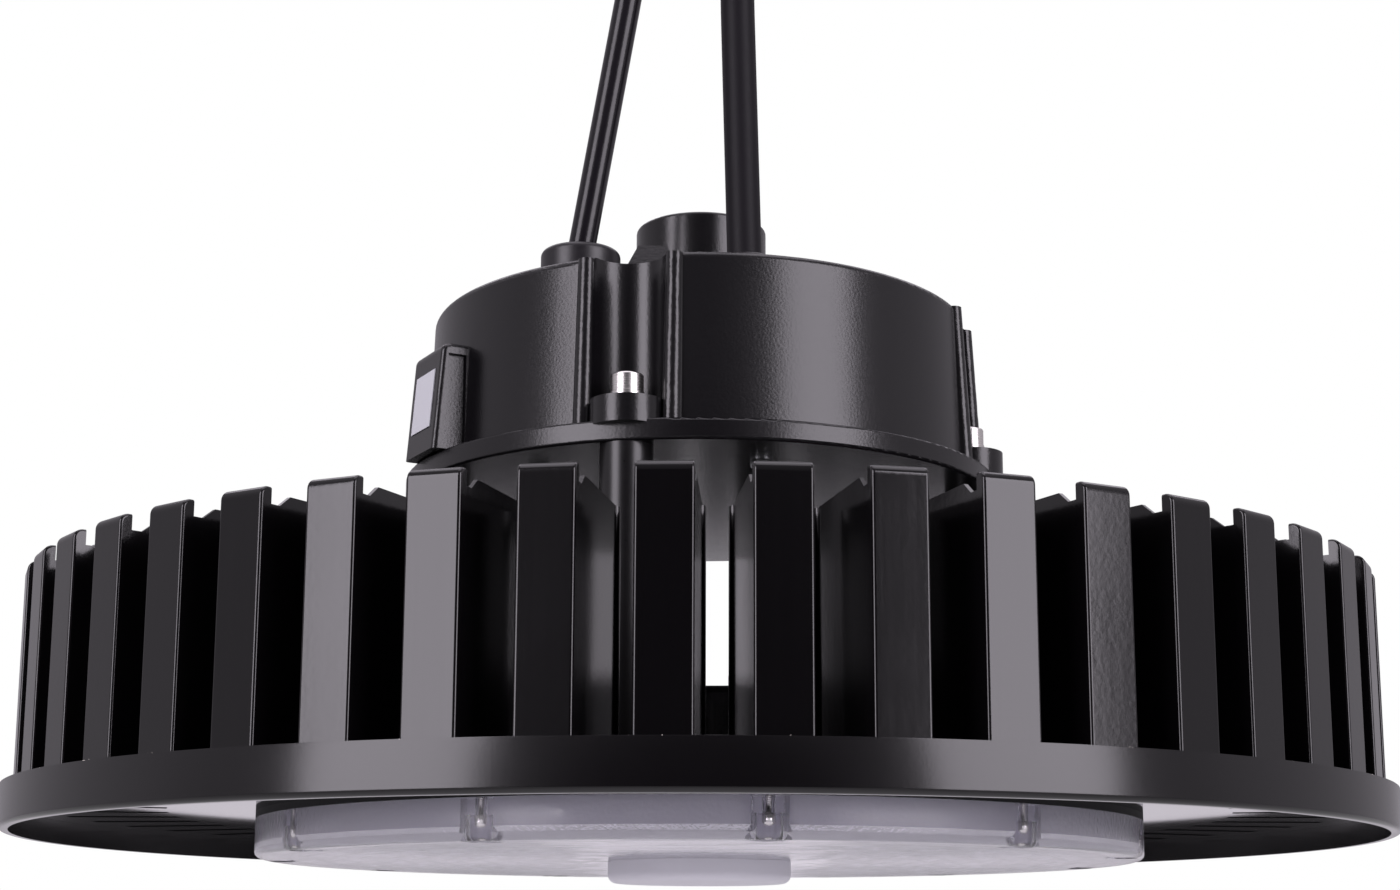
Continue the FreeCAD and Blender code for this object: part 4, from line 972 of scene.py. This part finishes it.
def studio_world(level):
    """A white surround, with a darker studio in reflections from the camera's side."""
    world = bpy.data.worlds.new("studio")
    bpy.context.scene.world = world
    world.use_nodes = True
    graph = Graph(world.node_tree)
    backdrop = world.node_tree.nodes["Background"]
    camera, glossy, through = ray_kinds(graph)
    direction = graph.node("ShaderNodeTexCoord", output="Generated")
    depth = graph.node("ShaderNodeSeparateXYZ", None, {0: direction}, output="Y") * 0.5 + 0.5
    height = graph.node("ShaderNodeSeparateXYZ", None, {0: direction}, output="Z") * 0.5 + 0.5
    backing = graph.ramp(height, BACKDROP_HEIGHT) * graph.ramp(depth, BACKDROP_DEPTH)
    reflected = graph.ramp(depth, STUDIO_DEPTH) + backing
    seen = camera.math("MAXIMUM", camera, through)
    strength = seen + (1 - seen) * (glossy * reflected + (1 - glossy) * level)
    graph.fill(backdrop.inputs["Strength"], strength)
    graph.fill(backdrop.inputs["Color"], graph.blend(seen, STUDIO_TINT, WHITE))


def softbox(name, azimuth, distance, height, width, tall, radiance):
    """An area lamp of an even radiance that faces the light from an azimuth."""
    lamp = bpy.data.lights.new(name, "AREA")
    lamp.shape = "RECTANGLE"
    lamp.size = width
    lamp.size_y = tall
    lamp.energy = radiance * math.pi * width * tall
    lamp.color = STUDIO_TINT
    stand = bpy.data.objects.new(name, lamp)
    bpy.context.scene.collection.objects.link(stand)
    turn = math.radians(azimuth)
    stand.location = (math.sin(turn) * distance, -math.cos(turn) * distance, height)
    stand.rotation_mode = "QUATERNION"
    stand.rotation_quaternion = (LAMP_TARGET - stand.location).to_track_quat("-Z", "Y")
    return stand


class HIGHBAY_OT_studio(bpy.types.Operator):
    """Set up the floor, lamps, surround and camera"""
    bl_idname = "highbay.studio"
    bl_label = "Studio"

    def execute(self, context):
        studio = context.scene.highbay_studio
        context.scene.view_settings.view_transform = "Standard"
        self.floor(context, studio)
        studio_world(studio.ambient)
        lamps = {name: softbox(name, *sizes) for name, *sizes in LAMPS}
        # The top lamp looks straight down
        lamps["top_box"].rotation_quaternion = (1.0, 0.0, 0.0, 0.0)
        self.camera(context, studio)
        return {"FINISHED"}

    def floor(self, context, studio):
        """The pale floor, which is stage and no piece of the light."""
        mesh = bpy.data.meshes.new("floor")
        corners = [(x * FLOOR_HALF, y * FLOOR_HALF, -studio.drop)
                   for x, y in ((-1, -1), (1, -1), (1, 1), (-1, 1))]
        mesh.from_pydata(corners, [], [(0, 1, 2, 3)])
        mesh.materials.append(floor_finish(studio.floor))
        floor = bpy.data.objects.new("floor", mesh)
        context.scene.collection.objects.link(floor)

    def camera(self, context, studio):
        """The camera at the photograph's viewing angle."""
        view = bpy.data.cameras.new("view")
        view.lens = studio.lens
        view.sensor_width = SENSOR_WIDTH
        view.shift_y = studio.rise
        camera = bpy.data.objects.new("camera", view)
        context.scene.collection.objects.link(camera)
        camera.matrix_world = (Matrix.Translation(CAMERA_PLACE)
                               @ Matrix.Rotation(math.pi / 2 + studio.pitch, 4, "X")
                               @ Matrix.Rotation(studio.roll, 4, "Z"))
        context.scene.camera = camera


OPERATORS = (HIGHBAY_OT_studio, HIGHBAY_OT_leads, HIGHBAY_OT_heat_sink, HIGHBAY_OT_driver,
             HIGHBAY_OT_screws, HIGHBAY_OT_optics)


class HIGHBAY_PT_panel(bpy.types.Panel):
    """Lists the light's pieces in the sidebar"""
    bl_idname = "HIGHBAY_PT_panel"
    bl_label = "High Bay Light"
    bl_space_type = "VIEW_3D"
    bl_region_type = "UI"
    bl_category = "High Bay"

    def draw(self, context):
        for operator in OPERATORS:
            self.layout.operator(operator.bl_idname)


GROUPS = (("highbay_finish", FinishSettings), ("highbay_leads", LeadSettings),
          ("highbay_studio", StudioSettings))


def register():
    for name, group in GROUPS:
        bpy.utils.register_class(group)
        setattr(bpy.types.Scene, name, PointerProperty(type=group))
    for item in (*OPERATORS, HIGHBAY_PT_panel):
        bpy.utils.register_class(item)


def unregister():
    for item in reversed((*OPERATORS, HIGHBAY_PT_panel)):
        bpy.utils.unregister_class(item)
    for name, group in reversed(GROUPS):
        delattr(bpy.types.Scene, name)
        bpy.utils.unregister_class(group)


def main():
    register()
    for operator in OPERATORS:
        family, call = operator.bl_idname.split(".")
        getattr(getattr(bpy.ops, family), call)()


if __name__ == "__main__":
    main()
